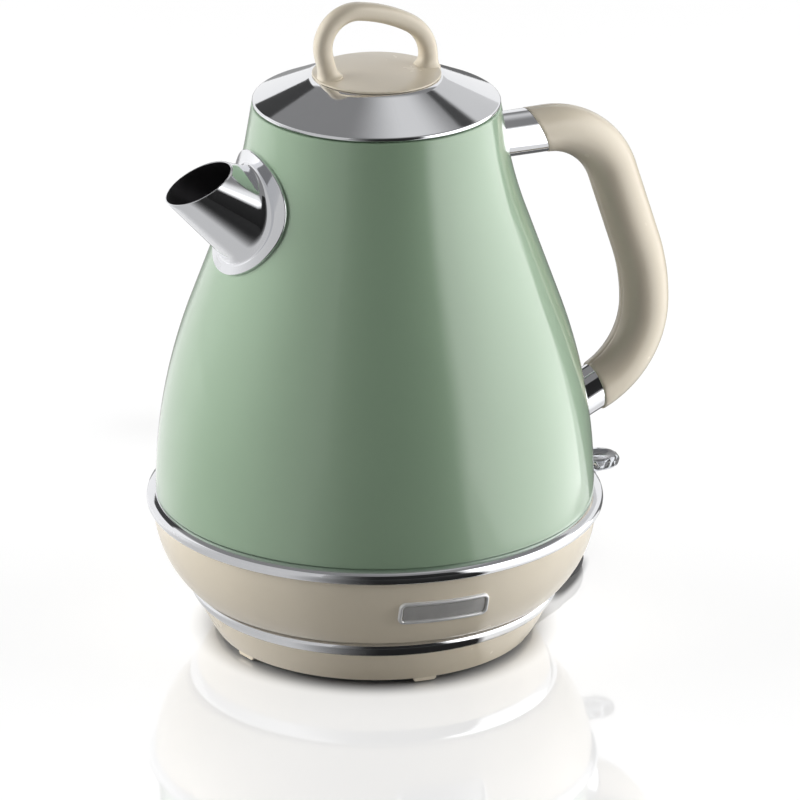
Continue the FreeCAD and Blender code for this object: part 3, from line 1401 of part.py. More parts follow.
def make_lid_handle():
    disc = turned("lid_disc", [
        ("0", "lid_top_height"),
        ("disc_radius", "lid_top_height"),
        ("disc_radius", "lid_top_height + disc_edge", "disc_bow", LEFT),
        ("0", "lid_top_height + disc_crown"),
    ])
    loop = new_body("lid_loop")
    path = sketch_on(loop, "loop_way", "XZ_Plane")
    draw(path, loop_way, closed=False)
    section = sketch_on(loop, "loop_section", "XY_Plane", "loop_root")
    draw_circles(section, [(loop_way[0][0], "0")], "loop_radius")
    sweep = loop.newObject("PartDesign::AdditivePipe", "loop_sweep")
    sweep.Profile = section
    sweep.Spine = (path, [f"Edge{i + 1}" for i in range(len(loop_way) - 1)])
    below = cylinder("loop_below_disc", "2*disc_radius", "2*loop_sink",
                     z="lid_top_height + disc_edge/2 - 2*loop_sink")
    handle = fuse("lid_handle_whole", disc, cut("lid_loop_trimmed", loop, below))
    for i, (x, y) in enumerate(loop_feet):
        bore = cylinder(f"loop_bore_{i}", "screw_radius + pin_gap", "loop_screw_bore", x=x, z="lid_top_height")
        handle = cut(f"lid_handle_bored_{i}", handle, bore)
    keep(handle, "lid_handle")
    bite = "lid_wall + loop_screw_bore - screw_head_height"
    group("lid_screws", [screw(f"lid_screw_{i}", x, "0", "lid_under", bite)
                         for i, (x, y) in enumerate(loop_feet)])


def make_all():
    exit_hole = along_cord("cord_exit", "relief_root_radius + fit_gap", "2*relief_length",
                           "relief_x - relief_length*cos(cord_heading)",
                           "relief_y - relief_length*sin(cord_heading)")
    make_base_shell(exit_hole)
    make_base_plate(exit_hole)
    make_base_trim_ring()
    make_base_feet()
    make_base_screws()
    make_base_connector()
    make_base_wiring()
    make_strain_relief()
    make_cord()
    make_cord_tie()
    make_plug()
    make_socket()
    make_skirt()
    make_upper_trim_ring()
    make_badge()
    make_bottom_cover()
    make_control_housing()
    pot = wall_fill("pot_outside", "-fit_gap")
    space = wall_fill("pot_inside", "body_wall + pin_gap")
    bore = spout_cone("spout_bore", "spout_wall")
    stud_holes = [on_axis(f"{end}_stud_hole", "stud_radius + fit_gap", head_seat[end], end)
                  for end in ("upper", "lower")]
    make_body_shell([bore] + stud_holes)
    make_heater()
    make_steam_tube()
    make_switch()
    make_switch_lever()
    make_handle()
    make_ferrules(pot)
    make_handle_screws(space)
    make_spout(pot, bore)
    make_filter()
    make_lid_shell()
    make_lid_liner()
    make_lid_handle()
    doc.recompute()


def check_and_write():
    """Stop on a failed object or a bad shape, then write one file for each sub-part."""
    failed = [thing.Name for thing in doc.Objects if "Invalid" in thing.State or "Error" in thing.State]
    if failed:
        raise RuntimeError("failed objects: " + ", ".join(failed))
    for part in parts:
        if part.Shape.isNull() or not part.Shape.isValid() or not part.Shape.Solids:
            raise RuntimeError("bad shape: " + part.Label)
    os.makedirs("parts", exist_ok=True)
    for part in parts:
        part.Shape.exportStep(f"parts/{part.Label}.step")
        print(part.Label, len(part.Shape.Solids), round(part.Shape.Volume, 1))


make_all()
check_and_write()
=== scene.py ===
"""Finished surfaces, cord and studio of an electric kettle on its power base.

Lengths are metres and angles radians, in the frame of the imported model: the kettle's axis is Z, the spout
points along -X, the handle along +X, and the base stands on z = 0.
"""

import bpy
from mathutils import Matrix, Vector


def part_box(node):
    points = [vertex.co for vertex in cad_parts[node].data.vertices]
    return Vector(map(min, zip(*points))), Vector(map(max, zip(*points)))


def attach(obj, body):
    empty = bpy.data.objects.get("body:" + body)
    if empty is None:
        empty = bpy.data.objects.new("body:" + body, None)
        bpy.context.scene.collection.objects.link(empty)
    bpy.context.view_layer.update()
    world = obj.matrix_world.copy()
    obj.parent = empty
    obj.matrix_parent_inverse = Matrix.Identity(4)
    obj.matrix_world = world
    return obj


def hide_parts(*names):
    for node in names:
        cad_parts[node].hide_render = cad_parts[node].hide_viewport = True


bl_info = {
    "name": "Electric Kettle Finish",
    "version": (1, 0, 0),
    "blender": (4, 5, 0),
    "location": "3D View > Sidebar > Kettle",
    "description": "Builds the finished surfaces of an electric kettle over its packed frame",
    "category": "Object",
}

from math import cos, pi, radians, sin, tan

import bmesh
import bpy
import numpy as np
from mathutils import Matrix, Vector

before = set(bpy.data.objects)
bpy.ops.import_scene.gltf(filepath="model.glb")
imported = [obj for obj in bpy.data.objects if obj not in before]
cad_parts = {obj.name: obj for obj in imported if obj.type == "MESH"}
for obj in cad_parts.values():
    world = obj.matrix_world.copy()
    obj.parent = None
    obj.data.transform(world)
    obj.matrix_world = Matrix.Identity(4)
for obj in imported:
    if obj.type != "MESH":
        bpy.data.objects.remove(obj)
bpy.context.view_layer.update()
MM = 0.001
HAIRLINE = 0.05 * MM
POT_LOW, POT_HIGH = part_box("body_shell")
SKIRT_LOW, SKIRT_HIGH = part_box("skirt")
LID_LOW, LID_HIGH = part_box("lid_shell")
LEVER_LOW, LEVER_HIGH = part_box("switch_lever")
TIE_LOW, TIE_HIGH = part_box("cord_tie")
PLUG_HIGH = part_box("plug_body")[1]

# Route of the free cord in millimetres, as listed: from the strain relief to the coil, and from the coil
# to the plug. The coil's turns are worked out between them.
LEAD_ROUTE = [(78, 2.3, 4.6), (85.1, 6.9, 4.6), (92.4, 14.6, 3.9), (97.5, 25, 3.3), (100.8, 40.6, 3.3),
              (102.6, 58.2, 3.3), (101.9, 77, 3.4), (97.4, 97.5, 4.6)]
TAIL_ROUTE = [(77.2, 170.1, 9.4), (65.7, 179.6, 9.4)]

# How far the grip's slanted ends shift along the handle for each length outward.
UPPER_SLANT = -0.45
LOWER_SLANT = 0.23

# Places on the stage are metres to the right of the camera's line, away from the camera and up.
# Lamps: name, place, size and power in watts.
LAMPS = [
    ("left_softbox", (-1.6, 0.08, 0.55), (1.6, 1.0), 28.5),
    ("right_softbox", (1.55, 0.05, 0.55), (1.6, 1.0), 25),
]

# Standing cards that reflections see: name, first and second end of the foot, clockwise seen from above, how
# far from the axis the floor card starts and how far that start lies to the right, height, brightness, and
# how much of the card fades at its first and second end. The floor card leads to the standing card's foot
# with the same brightness. Without a height it is alone.
STANDING_CARDS = [
    ("front_card", (1.115, -1.12), (-1.6, -2.3), (0.02, 0), 2.4, 0.01, (0.04, 0.6)),
    ("right_card", (1.22, 0.92), (1.115, -1.12), (0.17, 0.055), 1.2, 2.3, (0.02, 0.1)),
    ("back_card", (0, 3.4), (2.04, 1.54), (0.02, 0), 0, 0.12, (0.1, 0.02)),
    ("far_card", (-1.9, 3), (0, 3.4), (0.02, 0), 0, 0.3, (0.3, 0.1)),
    ("left_card", (-0.2, -3.4), (-2.6, 1.2), (0.02, 0), 2.6, 0.6, (0.02, 0.35)),
]

# Cards overhead: name, middle, half width and half depth, brightness and how much of each side fades.
OVERHEAD_CARDS = [
    ("ceiling_card", (0.0, 0.4, 2.3), (2.3, 3.0), 0.24, 0.08),
    ("ceiling_softbox", (0.42, 0.9, 2.26), (0.75, 1.2), 0.72, 0.45),
    ("ceiling_gap", (1.1, 1.88, 2.25), (0.2, 0.34), 0.06, 0.2),
    ("ceiling_left_gap", (-1.9, 4.05, 2.25), (0.7, 1.5), 0.04, 0.06),
    ("ceiling_end", (1.9, 4.3, 2.24), (0.95, 2.1), 0.66, 0.03),
]

# Painted cord shadow: a floor patch beside the cord whose glow is lowered; its middle, its turn and its half
# lengths.
CORD_SHADE = {"Location": (0.0865, 0.0085, 0), "Rotation": (0, 0, radians(48)), "Scale": (0.027, 0.005, 1)}

# Finishes: colour, share of it in the darker clouds, least and most roughness, scale of the clouds, scale of
# the grain, strength of the relief and other sockets of the shader. Brushed finishes have lines round the
# axis instead of a grain.
BRUSHED = 0
FINISHES = {
    "green_enamel": ("green", 0.97, (0.3, 0.36), 22, 260, 0.012,
                     {"Coat Weight": 1.0, "Coat Roughness": 0.04, "Coat IOR": 1.5}),
    "cream_plastic": ("cream", 0.97, (0.2, 0.28), 40, 1300, 0.02,
                      {"Coat Weight": 0.15, "Coat Roughness": 0.08}),
    "chrome_plate": ("chrome", 0.97, (0.035, 0.09), 55, 1800, 0.006, {"Metallic": 1.0}),
    "brushed_steel": ("steel", 0.9, (0.22, 0.34), 60, BRUSHED, 0.12, {"Metallic": 1.0}),
    # Bare steel inside the spout, darker than the other bare steel: that extra darkness is painted shade of
    # the hollow.
    "steel_with_painted_shade": ("steel_with_painted_shade", 0.8, (0.34, 0.48), 90, BRUSHED, 0.15, {"Metallic": 0.6}),
    "bright_border": ("border", 0.95, (0.28, 0.36), 120, 900, 0.01, {"Metallic": 0.4}),
    "satin_badge": ("badge", 0.86, (0.34, 0.46), 160, BRUSHED, 0.2, {"Metallic": 0.35}),
    "black_plastic": ("black", 0.85, (0.42, 0.55), 70, 2600, 0.12, {}),
    "white_plastic": ("white", 0.95, (0.35, 0.45), 50, 1600, 0.05, {}),
    "cord_jacket": ("jacket", 0.85, (0.42, 0.52), 120, 2200, 0.08, {"Specular IOR Level": 0.25}),
    "black_rubber": ("rubber", 0.85, (0.62, 0.75), 90, 2400, 0.2, {"Specular IOR Level": 0.25}),
    "pale_rubber": ("seal", 0.95, (0.5, 0.6), 70, 1600, 0.08, {}),
    "contact_brass": ("brass", 0.9, (0.16, 0.26), 150, 2400, 0.03, {"Metallic": 1.0}),
    "clear_plastic": ("clear", 0.98, (0.01, 0.05), 140, 700, 0.01, {"Transmission Weight": 1.0, "IOR": 1.49}),
    "amber_lamp": ("amber", 0.95, (0.05, 0.12), 140, 900, 0.02, {"Transmission Weight": 0.8, "IOR": 1.49}),
}
RELIEF_DEPTH = 0.1 * MM
WHITE = (1, 1, 1, 1)
BLACK = (0, 0, 0, 1)

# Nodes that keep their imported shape, by finish.
KEPT_NODES = {
    "black_plastic": ["base_plate", "base_connector", "control_housing", "bottom_cover", "socket_housing"],
    "black_rubber": ["base_feet"],
    "cord_jacket": ["base_wires", "inner_lead_cord"],
    "brushed_steel": ["base_screws", "heater_plate", "heating_element", "element_diffuser", "cover_screws",
                      "bimetal_disc", "lever_pin", "handle_core", "handle_screws", "lid_liner", "lid_screws",
                      "filter_mesh"],
    "contact_brass": ["base_centre_contact", "base_ring_contact", "socket_pin", "socket_ring", "plug_pins",
                      "plug_earth_clips"],
    "white_plastic": ["terminal_block", "switch_housing", "steam_tube", "filter_frame"],
    "pale_rubber": ["handle_seals", "lid_gasket"],
    "amber_lamp": ["pilot_lamp"],
}


# Settings


def length(name, description, millimetres):
    """A length with its default in millimetres."""
    return bpy.props.FloatProperty(name=name, description=description, default=millimetres * MM,
                                   unit="LENGTH", precision=5)


def angle(name, description, degrees):
    """An angle with its default in degrees."""
    return bpy.props.FloatProperty(name=name, description=description, default=radians(degrees),
                                   unit="ROTATION")


def plain(name, description, default):
    """A plain number."""
    return bpy.props.FloatProperty(name=name, description=description, default=default, precision=4)


def shade(name, description, red, green, blue):
    """A colour with its default given as screen values from 0 to 255."""
    return bpy.props.FloatVectorProperty(name=name, description=description, size=3, subtype="COLOR",
                                         min=0, max=1, default=linear(red, green, blue))


def linear(red, green, blue):
    """Screen values from 0 to 255 as linear light: ((c + 0.055) / 1.055) ** 2.4."""
    screen = np.array((red, green, blue)) / 255
    return tuple(np.where(screen < 0.04045, screen / 12.92, ((screen + 0.055) / 1.055) ** 2.4).tolist())


class PotSizes(bpy.types.PropertyGroup):
    lower_radius: length("Lower radius", "Pot wall at its lower edge", POT_HIGH[0] / MM)
    lower_height: length("Lower height", "Lower edge of the pot", POT_LOW[2] / MM)
    top_height: length("Top height", "Top of the pot", POT_HIGH[2] / MM)
    belly_bow: length("Belly bow", "Arc radius of the belly", 216)
    wall_lean: angle("Wall lean", "Lean of the straight wall", 20.3)
    shoulder_drop: length("Shoulder drop", "Start of the shoulder below the top", 41.2)
    shoulder_bow: length("Shoulder bow", "Arc radius of the hollow shoulder", 154)
    neck_lean: angle("Neck lean", "Lean of the neck", 9.5)
    wall: length("Wall", "Pot wall", 1.2)
    ledge: length("Ledge", "Ledge round the opening under the lid", 5.17)


class SpoutSizes(bpy.types.PropertyGroup):
    root_lift: length("Root lift", "Middle of the root above the shoulder's start", 6)
    rise: angle("Rise", "Rise of the spout", 33.5)
    reach: length("Reach", "Mouth to pot wall along the spout", 23.5)
    mouth_radius: length("Mouth radius", "Spout at its mouth", 11.7)
    flare: angle("Flare", "Half angle of the cone", 14)
    mouth_tilt: angle("Mouth tilt", "Tilt of the mouth from level", 26.8)
    wall: length("Wall", "Spout sheet", 1.2)
    lip_wall: length("Lip wall", "Spout sheet where it thins at the mouth", 0.6)
    flange_tall: length("Flange height", "Half of the flange along the wall", 23.6)
    flange_wide: length("Flange width", "Half of the flange round the wall", 24.9)
    flange_thick: length("Flange thickness", "Flange on the pot", 1.5)


class HandleSizes(bpy.types.PropertyGroup):
    drop: length("Drop", "Upper end below the straight neck", 6.2)
    foot_lift: length("Foot lift", "Lower end above the pot's lower edge", 21.5)
    upper_ferrule: length("Upper ferrule", "Pot wall to the grip's upper end", 15.6)
    lower_ferrule: length("Lower ferrule", "Pot wall to the grip's lower end", 11.2)
    upper_bow: length("Upper bow", "Arc radius of the upper bend", 30)
    middle_bow: length("Middle bow", "Arc radius below the middle", 75.5)
    lower_bow: length("Lower bow", "Arc radius of the lower bend", 35.5)
    slope: angle("Slope", "Fall of the straight middle", 71)
    end_rise: angle("End rise", "Rise of the lower end away from the pot", 25)
    upper_radius: length("Upper radius", "Grip at its upper end", 8.9)
    grip_radius: length("Grip radius", "Grip over the rest of its length", 9.4)
    grip_wall: length("Grip wall", "Grip halves", 2.6)
    ferrule_radius: length("Ferrule radius", "Chrome ferrules", 8.7)
    ferrule_wall: length("Ferrule wall", "Chrome ferrules", 1.6)


class SkirtSizes(bpy.types.PropertyGroup):
    top_radius: length("Top radius", "Top of the skirt", -SKIRT_LOW[0] / MM)
    bow: length("Bow", "Arc radius of the side", 40)
    wall: length("Wall", "Skirt", 2.4)
    notch_half: length("Notch", "Half of the notch for the lever", 8.9)
    notch_height: length("Notch height", "Bottom of the notch", 44.6)
    badge_width: length("Badge width", "Badge frame", 35)
    badge_tall: length("Badge height", "Badge frame", 9.8)
    badge_corner: length("Badge corner", "Corner radius of the badge frame", 2.6)
    badge_border: length("Badge border", "Border of the badge frame", 1.3)
    badge_drop: length("Badge drop", "Middle of the badge below the skirt's top", 12.9)
    badge_turn: angle("Badge azimuth", "Badge round the kettle", -95.9)


class BaseSizes(bpy.types.PropertyGroup):
    rim_radius: length("Rim radius", "Lower edge of the side", 60.6)
    rim_height: length("Rim height", "Lower edge of the side", 2.5)
    side_radius: length("Side radius", "Upper edge of the side", 67.4)
    side_height: length("Side height", "Upper edge of the side", 15.3)
    side_bow: length("Side bow", "Arc radius of the side", 60)
    wall: length("Wall", "Side of the base", 2.4)
    deck_height: length("Deck height", "Deck that the kettle stands on", 20.4)
    deck_hole: length("Deck hole", "Opening for the connector", 13.2)
    ring_seat: length("Ring seat", "Seat of the chrome ring", 65.6)
    ring_lower: length("Ring lower", "Chrome ring, lower edge", 67.7)
    ring_upper: length("Ring upper", "Chrome ring, upper edge", 70.2)
    ring_height: length("Ring height", "Top of the chrome ring", 20.9)
    tab_width: length("Tab width", "Foot tab along the rim", 9)
    tab_turn: angle("Tab azimuth", "First foot tab", -24)


class LidSizes(bpy.types.PropertyGroup):
    lip: length("Lip", "Radius of the rolled rim", 0.95)
    wall: length("Wall", "Lid sheet", 1.2)
    disc_radius: length("Disc radius", "Disc under the loop", 24)
    disc_edge: length("Disc edge", "Edge of the disc", 0.9)
    disc_crown: length("Disc crown", "Middle of the disc above the cone", 2)
    chrome_margin: length("Chrome margin", "Chrome that shows round the disc", 0.6)
    loop_radius: length("Loop radius", "Tube of the loop", 3.4)
    loop_front: length("Loop front", "Front foot from the axis", 19.2)
    front_leg: length("Front leg", "Straight front leg", 9.15)
    front_bow: length("Front bow", "Arc radius of the front bend", 12.66)
    top_bow: length("Top bow", "Arc radius of the sloping top", 56.8)
    back_bow: length("Back bow", "Arc radius of the back bend", 15.6)
    front_heading: angle("Front heading", "Heading of the front leg, up from level", 104)
    crest_heading: angle("Crest heading", "Heading where the sloping top starts", -8)
    back_heading: angle("Back heading", "Heading where the sloping top ends", -30)
    end_heading: angle("End heading", "Heading of the back leg", -97)


class CordSizes(bpy.types.PropertyGroup):
    diameter: length("Diameter", "Mains cord", 6.5)
    relief_length: length("Relief length", "Strain relief", 26)
    relief_root: length("Relief root", "Strain relief at the base, radius", 4.5)
    relief_tip: length("Relief tip", "Strain relief at its end, radius", 3.8)
    heading: angle("Heading", "Direction of the strain relief", 33)
    coil_x: length("Coil X", "Middle of the coil", 59.8)
    coil_y: length("Coil Y", "Middle of the coil", 124)
    coil_outer: length("Coil outer", "Outermost turn to the cord's middle", 37.6)
    coil_pitch: length("Coil pitch", "Turns and layers apart", 8.3)
    coil_height: length("Coil height", "Lower layer above the floor", 4.6)
    layer_sweep: angle("Layer sweep", "How far each layer winds round", 462.5)
    tail_start_run: length("Tail run", "Straight stretch after the coil", 13.8)
    plug_radius: length("Plug radius", "Plug", 19)
    plug_neck: length("Plug neck", "Sleeve of the plug", 22)
    plug_neck_radius: length("Plug neck radius", "Sleeve at the plug", 6.5)


class Colours(bpy.types.PropertyGroup):
    green: shade("Green", "Enamel of the pot", 154, 182, 152)
    cream: shade("Cream", "Skirt, grip and base", 236, 225, 204)
    chrome: shade("Chrome", "Plated pieces", 232, 233, 236)
    steel: shade("Steel", "Bare steel", 186, 186, 188)
    # Bare steel inside the spout, made darker than the other steel as painted shade of its hollow.
    steel_with_painted_shade: shade("Dark steel", "Inside of the spout", 104, 102, 105)
    border: shade("Border", "Badge border", 238, 238, 238)
    badge: shade("Badge", "Bare badge field", 204, 203, 201)
    black: shade("Black", "Plug and lower plastics", 34, 34, 35)
    jacket: shade("Jacket", "Jacket of the cord", 24, 23, 23)
    rubber: shade("Rubber", "Feet, strain relief and tie", 26, 25, 25)
    seal: shade("Seal", "Seals", 206, 205, 200)
    white: shade("White", "Inner plastics", 214, 213, 208)
    brass: shade("Brass", "Contacts and pins", 212, 178, 112)
    clear: shade("Clear", "Switch lever", 232, 235, 241)
    amber: shade("Amber", "Lens of the pilot lamp", 236, 160, 90)


class StageSettings(bpy.types.PropertyGroup):
    view_turn: angle("View azimuth", "Camera round the kettle", 24.5)
    distance: length("Distance", "Camera from the kettle's axis, level", 2400)
    height: length("Height", "Camera above the floor", 1025.676)
    pitch: angle("Pitch", "Camera's downward look", 21.2748)
    yaw: angle("Yaw", "Camera's sideways look", 0.2238)
    roll: angle("Roll", "Camera's roll", 0.3325)
    lens: plain("Lens", "Focal length in millimetres", 307.531)
    # shade_inner and shade_outer bound a painted shadow on the floor round the base, where its glow is
    # lowered.
    shade_inner: length("Shade inner", "Radius within which the floor round the base is dark", 58.5)
    shade_outer: length("Shade outer", "Radius from which the floor is fully lit", 72)
    glow: plain("Glow", "Light lifted onto the floor", 0.72)
    floor_index: plain("Floor index", "Refractive index of the floor's gloss", 2.5)
    dim: plain("Dim", "Surroundings as a source of light", 0.13)


# Shapes


def arc(middle, radius, start, end, count):
    """Points of an arc in its plane: middle + radius (cos t, sin t) for t from start to end."""
    turn = np.linspace(start, end, count)
    return np.column_stack((middle[0] + radius * np.cos(turn), middle[1] + radius * np.sin(turn)))


def rounded(corners, steps=7):
    """Closed outline whose corners (x, y, radius) are arcs that touch both sides.

    With a and b the directions to the neighbours and t the angle between them, the arc's middle lies
    radius / sin(t / 2) from the corner along a + b, and its points are the slerp between its two ends.
    """
    corners = np.array(corners, dtype=float)
    spots = corners[:, :2]
    radius = corners[:, 2:]
    before = np.roll(spots, 1, axis=0) - spots
    after = np.roll(spots, -1, axis=0) - spots
    before /= np.linalg.norm(before, axis=1, keepdims=True)
    after /= np.linalg.norm(after, axis=1, keepdims=True)
    half = np.arccos(np.clip((before * after).sum(axis=1, keepdims=True), -1, 1)) / 2
    both = before + after
    middle = spots + both / np.linalg.norm(both, axis=1, keepdims=True) * radius / np.sin(half)
    first = spots + before * radius / np.tan(half) - middle
    last = spots + after * radius / np.tan(half) - middle
    sweep = (pi - 2 * half)[:, None, :]
    share = np.linspace(0, 1, steps)[None, :, None]
    points = (np.sin((1 - share) * sweep) * first[:, None] + np.sin(share * sweep) * last[:, None])
    return (middle[:, None] + points / np.sin(sweep)).reshape(-1, 2)


def revolved(profile, turns):
    """Surface of revolution: P(i, t) = (r_i cos t, r_i sin t, z_i)."""
    radius, height = np.asarray(profile).T
    x = np.outer(radius, np.cos(turns))
    y = np.outer(radius, np.sin(turns))
    return np.stack((x, y, np.broadcast_to(height[:, None], x.shape)), axis=2)


def full_turn(count):
    """Angles once round, without the repeated last one."""
    return np.linspace(0, 2 * pi, count, endpoint=False)


def bow_middle(low, high, radius):
    """Middle of the arc of a radius that bulges away from the axis between two profile points."""
    low = np.array(low)
    chord = np.array(high) - low
    half = np.linalg.norm(chord) / 2
    across = np.array((-chord[1], chord[0])) / (2 * half)
    return low + chord / 2 + across * np.sqrt(radius ** 2 - half ** 2)


def bowed(low, high, radius, count):
    """Points of that arc from its lower to its upper end."""
    middle = bow_middle(low, high, radius)
    start = np.arctan2(low[1] - middle[1], low[0] - middle[0])
    end = np.arctan2(high[1] - middle[1], high[0] - middle[0])
    return arc(middle, radius, start, end, count)


def meet(miss, guess, step=0.1 * MM, rounds=10):
    """Newton's method on a whole array: t - miss(t) / slope until miss is nothing."""
    place = guess
    for _ in range(rounds):
        slope = (miss(place + step) - miss(place - step)) / (2 * step)
        place = place - miss(place) / slope
    return place


def smooth(share):
    """The easing 3 k^2 - 2 k^3 of a share held between 0 and 1."""
    share = np.clip(share, 0, 1)
    return share * share * (3 - 2 * share)


class PotShape:
    """Outer wall of the pot: a belly arc, a straight wall, a hollow shoulder arc and a straight neck."""

    def __init__(self, sizes):
        self.sizes = sizes
        self.belly_end = sizes.lower_height + sizes.belly_bow * sin(sizes.wall_lean)
        self.shoulder = sizes.top_height - sizes.shoulder_drop
        belly_radius = sizes.lower_radius - sizes.belly_bow * (1 - cos(sizes.wall_lean))
        shoulder_radius = belly_radius - (self.shoulder - self.belly_end) * tan(sizes.wall_lean)
        self.hollow_radius = shoulder_radius + sizes.shoulder_bow * cos(sizes.wall_lean)
        self.hollow_height = self.shoulder + sizes.shoulder_bow * sin(sizes.wall_lean)
        self.neck = self.hollow_height - sizes.shoulder_bow * sin(sizes.neck_lean)

    def lean(self, height):
        """Inward lean of the wall: arcsine of the height along each arc, held where the wall is straight."""
        sizes = self.sizes
        belly = np.arcsin(np.clip((height - sizes.lower_height) / sizes.belly_bow, 0, sin(sizes.wall_lean)))
        hollow = np.arcsin(np.clip((self.hollow_height - height) / sizes.shoulder_bow, sin(sizes.neck_lean),
                                   sin(sizes.wall_lean)))
        return np.where(height < self.shoulder, belly, hollow)

    def radius(self, height):
        """Each arc's radius from its lean, and the straight stretches as lines that carry on from it."""
        sizes = self.sizes
        lean = self.lean(height)
        straight = np.maximum(height - self.belly_end, 0) * tan(sizes.wall_lean)
        lower = sizes.lower_radius - sizes.belly_bow * (1 - np.cos(lean)) - straight
        neck = np.maximum(height - self.neck, 0) * tan(sizes.neck_lean)
        upper = self.hollow_radius - sizes.shoulder_bow * np.cos(lean) - neck
        return np.where(height < self.shoulder, lower, upper)

    def point(self, height, turn, lift=0.0):
        """The wall at a height and azimuth, moved out along its normal by the lift."""
        lean = self.lean(height)
        radius = self.radius(height) + lift * np.cos(lean)
        return np.stack((radius * np.cos(turn), radius * np.sin(turn), height + lift * np.sin(lean)), axis=-1)

    def miss(self, points):
        """How far points lie outside the wall, measured level."""
        return np.hypot(points[..., 0], points[..., 1]) - self.radius(points[..., 2])


class SpoutShape:
    """The spout's cone: P(s, t) = mouth - s a + (r + s tan flare - inset)(cos t e + sin t Y)."""

    def __init__(self, sizes, pot):
        self.sizes = sizes
        self.root_height = pot.shoulder + sizes.root_lift
        root = np.array((-float(pot.radius(self.root_height)), 0, self.root_height))
        self.way = np.array((-cos(sizes.rise), 0, sin(sizes.rise)))
        self.up = np.array((sin(sizes.rise), 0, cos(sizes.rise)))
        self.mouth = root + self.way * sizes.reach

    def point(self, behind, turn, inset=0.0):
        """A point of the cone at a distance behind the mouth and a turn round the axis."""
        radius = self.sizes.mouth_radius + behind * tan(self.sizes.flare) - inset
        side = np.array((0, 1, 0))
        behind, radius, turn = np.broadcast_arrays(behind, radius, turn)
        around = np.cos(turn)[..., None] * self.up + np.sin(turn)[..., None] * side
        return self.mouth - behind[..., None] * self.way + radius[..., None] * around

    def cut(self, turn):
        """Where the tilted plane of the mouth cuts the cone."""
        tilt = self.sizes.mouth_tilt + self.sizes.rise
        slant = np.cos(turn) * cos(tilt)
        return self.sizes.mouth_radius * slant / (sin(tilt) - tan(self.sizes.flare) * slant)

    def share(self, points):
        """Distance of points from the axis as a share of the cone's radius there."""
        offset = points - self.mouth
        behind = -(offset @ self.way)
        across = np.linalg.norm(offset + behind[..., None] * self.way, axis=-1)
        return across / (self.sizes.mouth_radius + behind * tan(self.sizes.flare))


class PlanePath:
    """A line of straight runs and arcs in the upright plane of handle and spout.

    Its heading is piecewise linear in the distance along it, and its place is the running sum of
    (cos heading, sin heading).
    """

    SAMPLES = 2000

    def __init__(self, start, heading, runs):
        lengths, turns = np.array(runs).T
        knots = np.concatenate(([0], np.cumsum(lengths)))
        headings = heading + np.concatenate(([0], np.cumsum(turns)))
        self.length = knots[-1]
        self.along = np.linspace(0, self.length, self.SAMPLES)
        self.heading = np.interp(self.along, knots, headings)
        middles = (self.heading[1:] + self.heading[:-1]) / 2
        step = self.along[1]
        self.x = start[0] + np.concatenate(([0], np.cumsum(np.cos(middles) * step)))
        self.z = start[1] + np.concatenate(([0], np.cumsum(np.sin(middles) * step)))

    def point(self, distance, outward, sideways):
        """A point at a distance along the line, moved across it in its plane and sideways out of it."""
        held = np.clip(distance, 0, self.length)
        past = distance - held
        heading = np.interp(held, self.along, self.heading)
        x = np.interp(held, self.along, self.x) + past * np.cos(heading) - outward * np.sin(heading)
        z = np.interp(held, self.along, self.z) + past * np.sin(heading) + outward * np.cos(heading)
        return np.stack(np.broadcast_arrays(x, sideways, z), axis=-1)


def handle_path(handle, pot):
    """Middle line of the handle between its two ends on the wall.

    Its straight runs fill what the bends leave of the drop and the reach.
    """
    top = pot.neck - handle.drop
    start = float(pot.radius(top))
    foot = pot.sizes.lower_height + handle.foot_lift
    end_x = float(pot.radius(foot)) + handle.lower_ferrule * cos(handle.end_rise)
    end_z = foot + handle.lower_ferrule * sin(handle.end_rise)
    drop = top - end_z - handle.upper_bow * (1 - cos(handle.slope)) - handle.middle_bow * cos(handle.slope)
    middle_run = (drop - handle.lower_bow * cos(handle.end_rise)) / sin(handle.slope)
    reach = handle.upper_bow * sin(handle.slope) + middle_run * cos(handle.slope)
    reach += handle.middle_bow * (1 - sin(handle.slope)) - handle.lower_bow * (1 - sin(handle.end_rise))
    top_run = end_x - start - handle.upper_ferrule - reach
    return PlanePath((start, top), 0, [
        (handle.upper_ferrule + top_run, 0),
        (handle.upper_bow * handle.slope, -handle.slope),
        (middle_run, 0),
        (handle.middle_bow * (pi / 2 - handle.slope), handle.slope - pi / 2),
        (handle.lower_bow * (pi / 2 - handle.end_rise), handle.end_rise - pi / 2),
        (handle.lower_ferrule, 0),
    ])


def grid_faces(rows, columns, wrap_rows, wrap_columns):
    """Corner numbers of a grid's faces, closed on itself where asked."""
    number = np.arange(rows * columns).reshape(rows, columns)
    if wrap_rows:
        number = np.vstack((number, number[:1]))
    if wrap_columns:
        number = np.hstack((number, number[:, :1]))
    return np.stack((number[:-1, :-1], number[1:, :-1], number[1:, 1:], number[:-1, 1:]), axis=2)


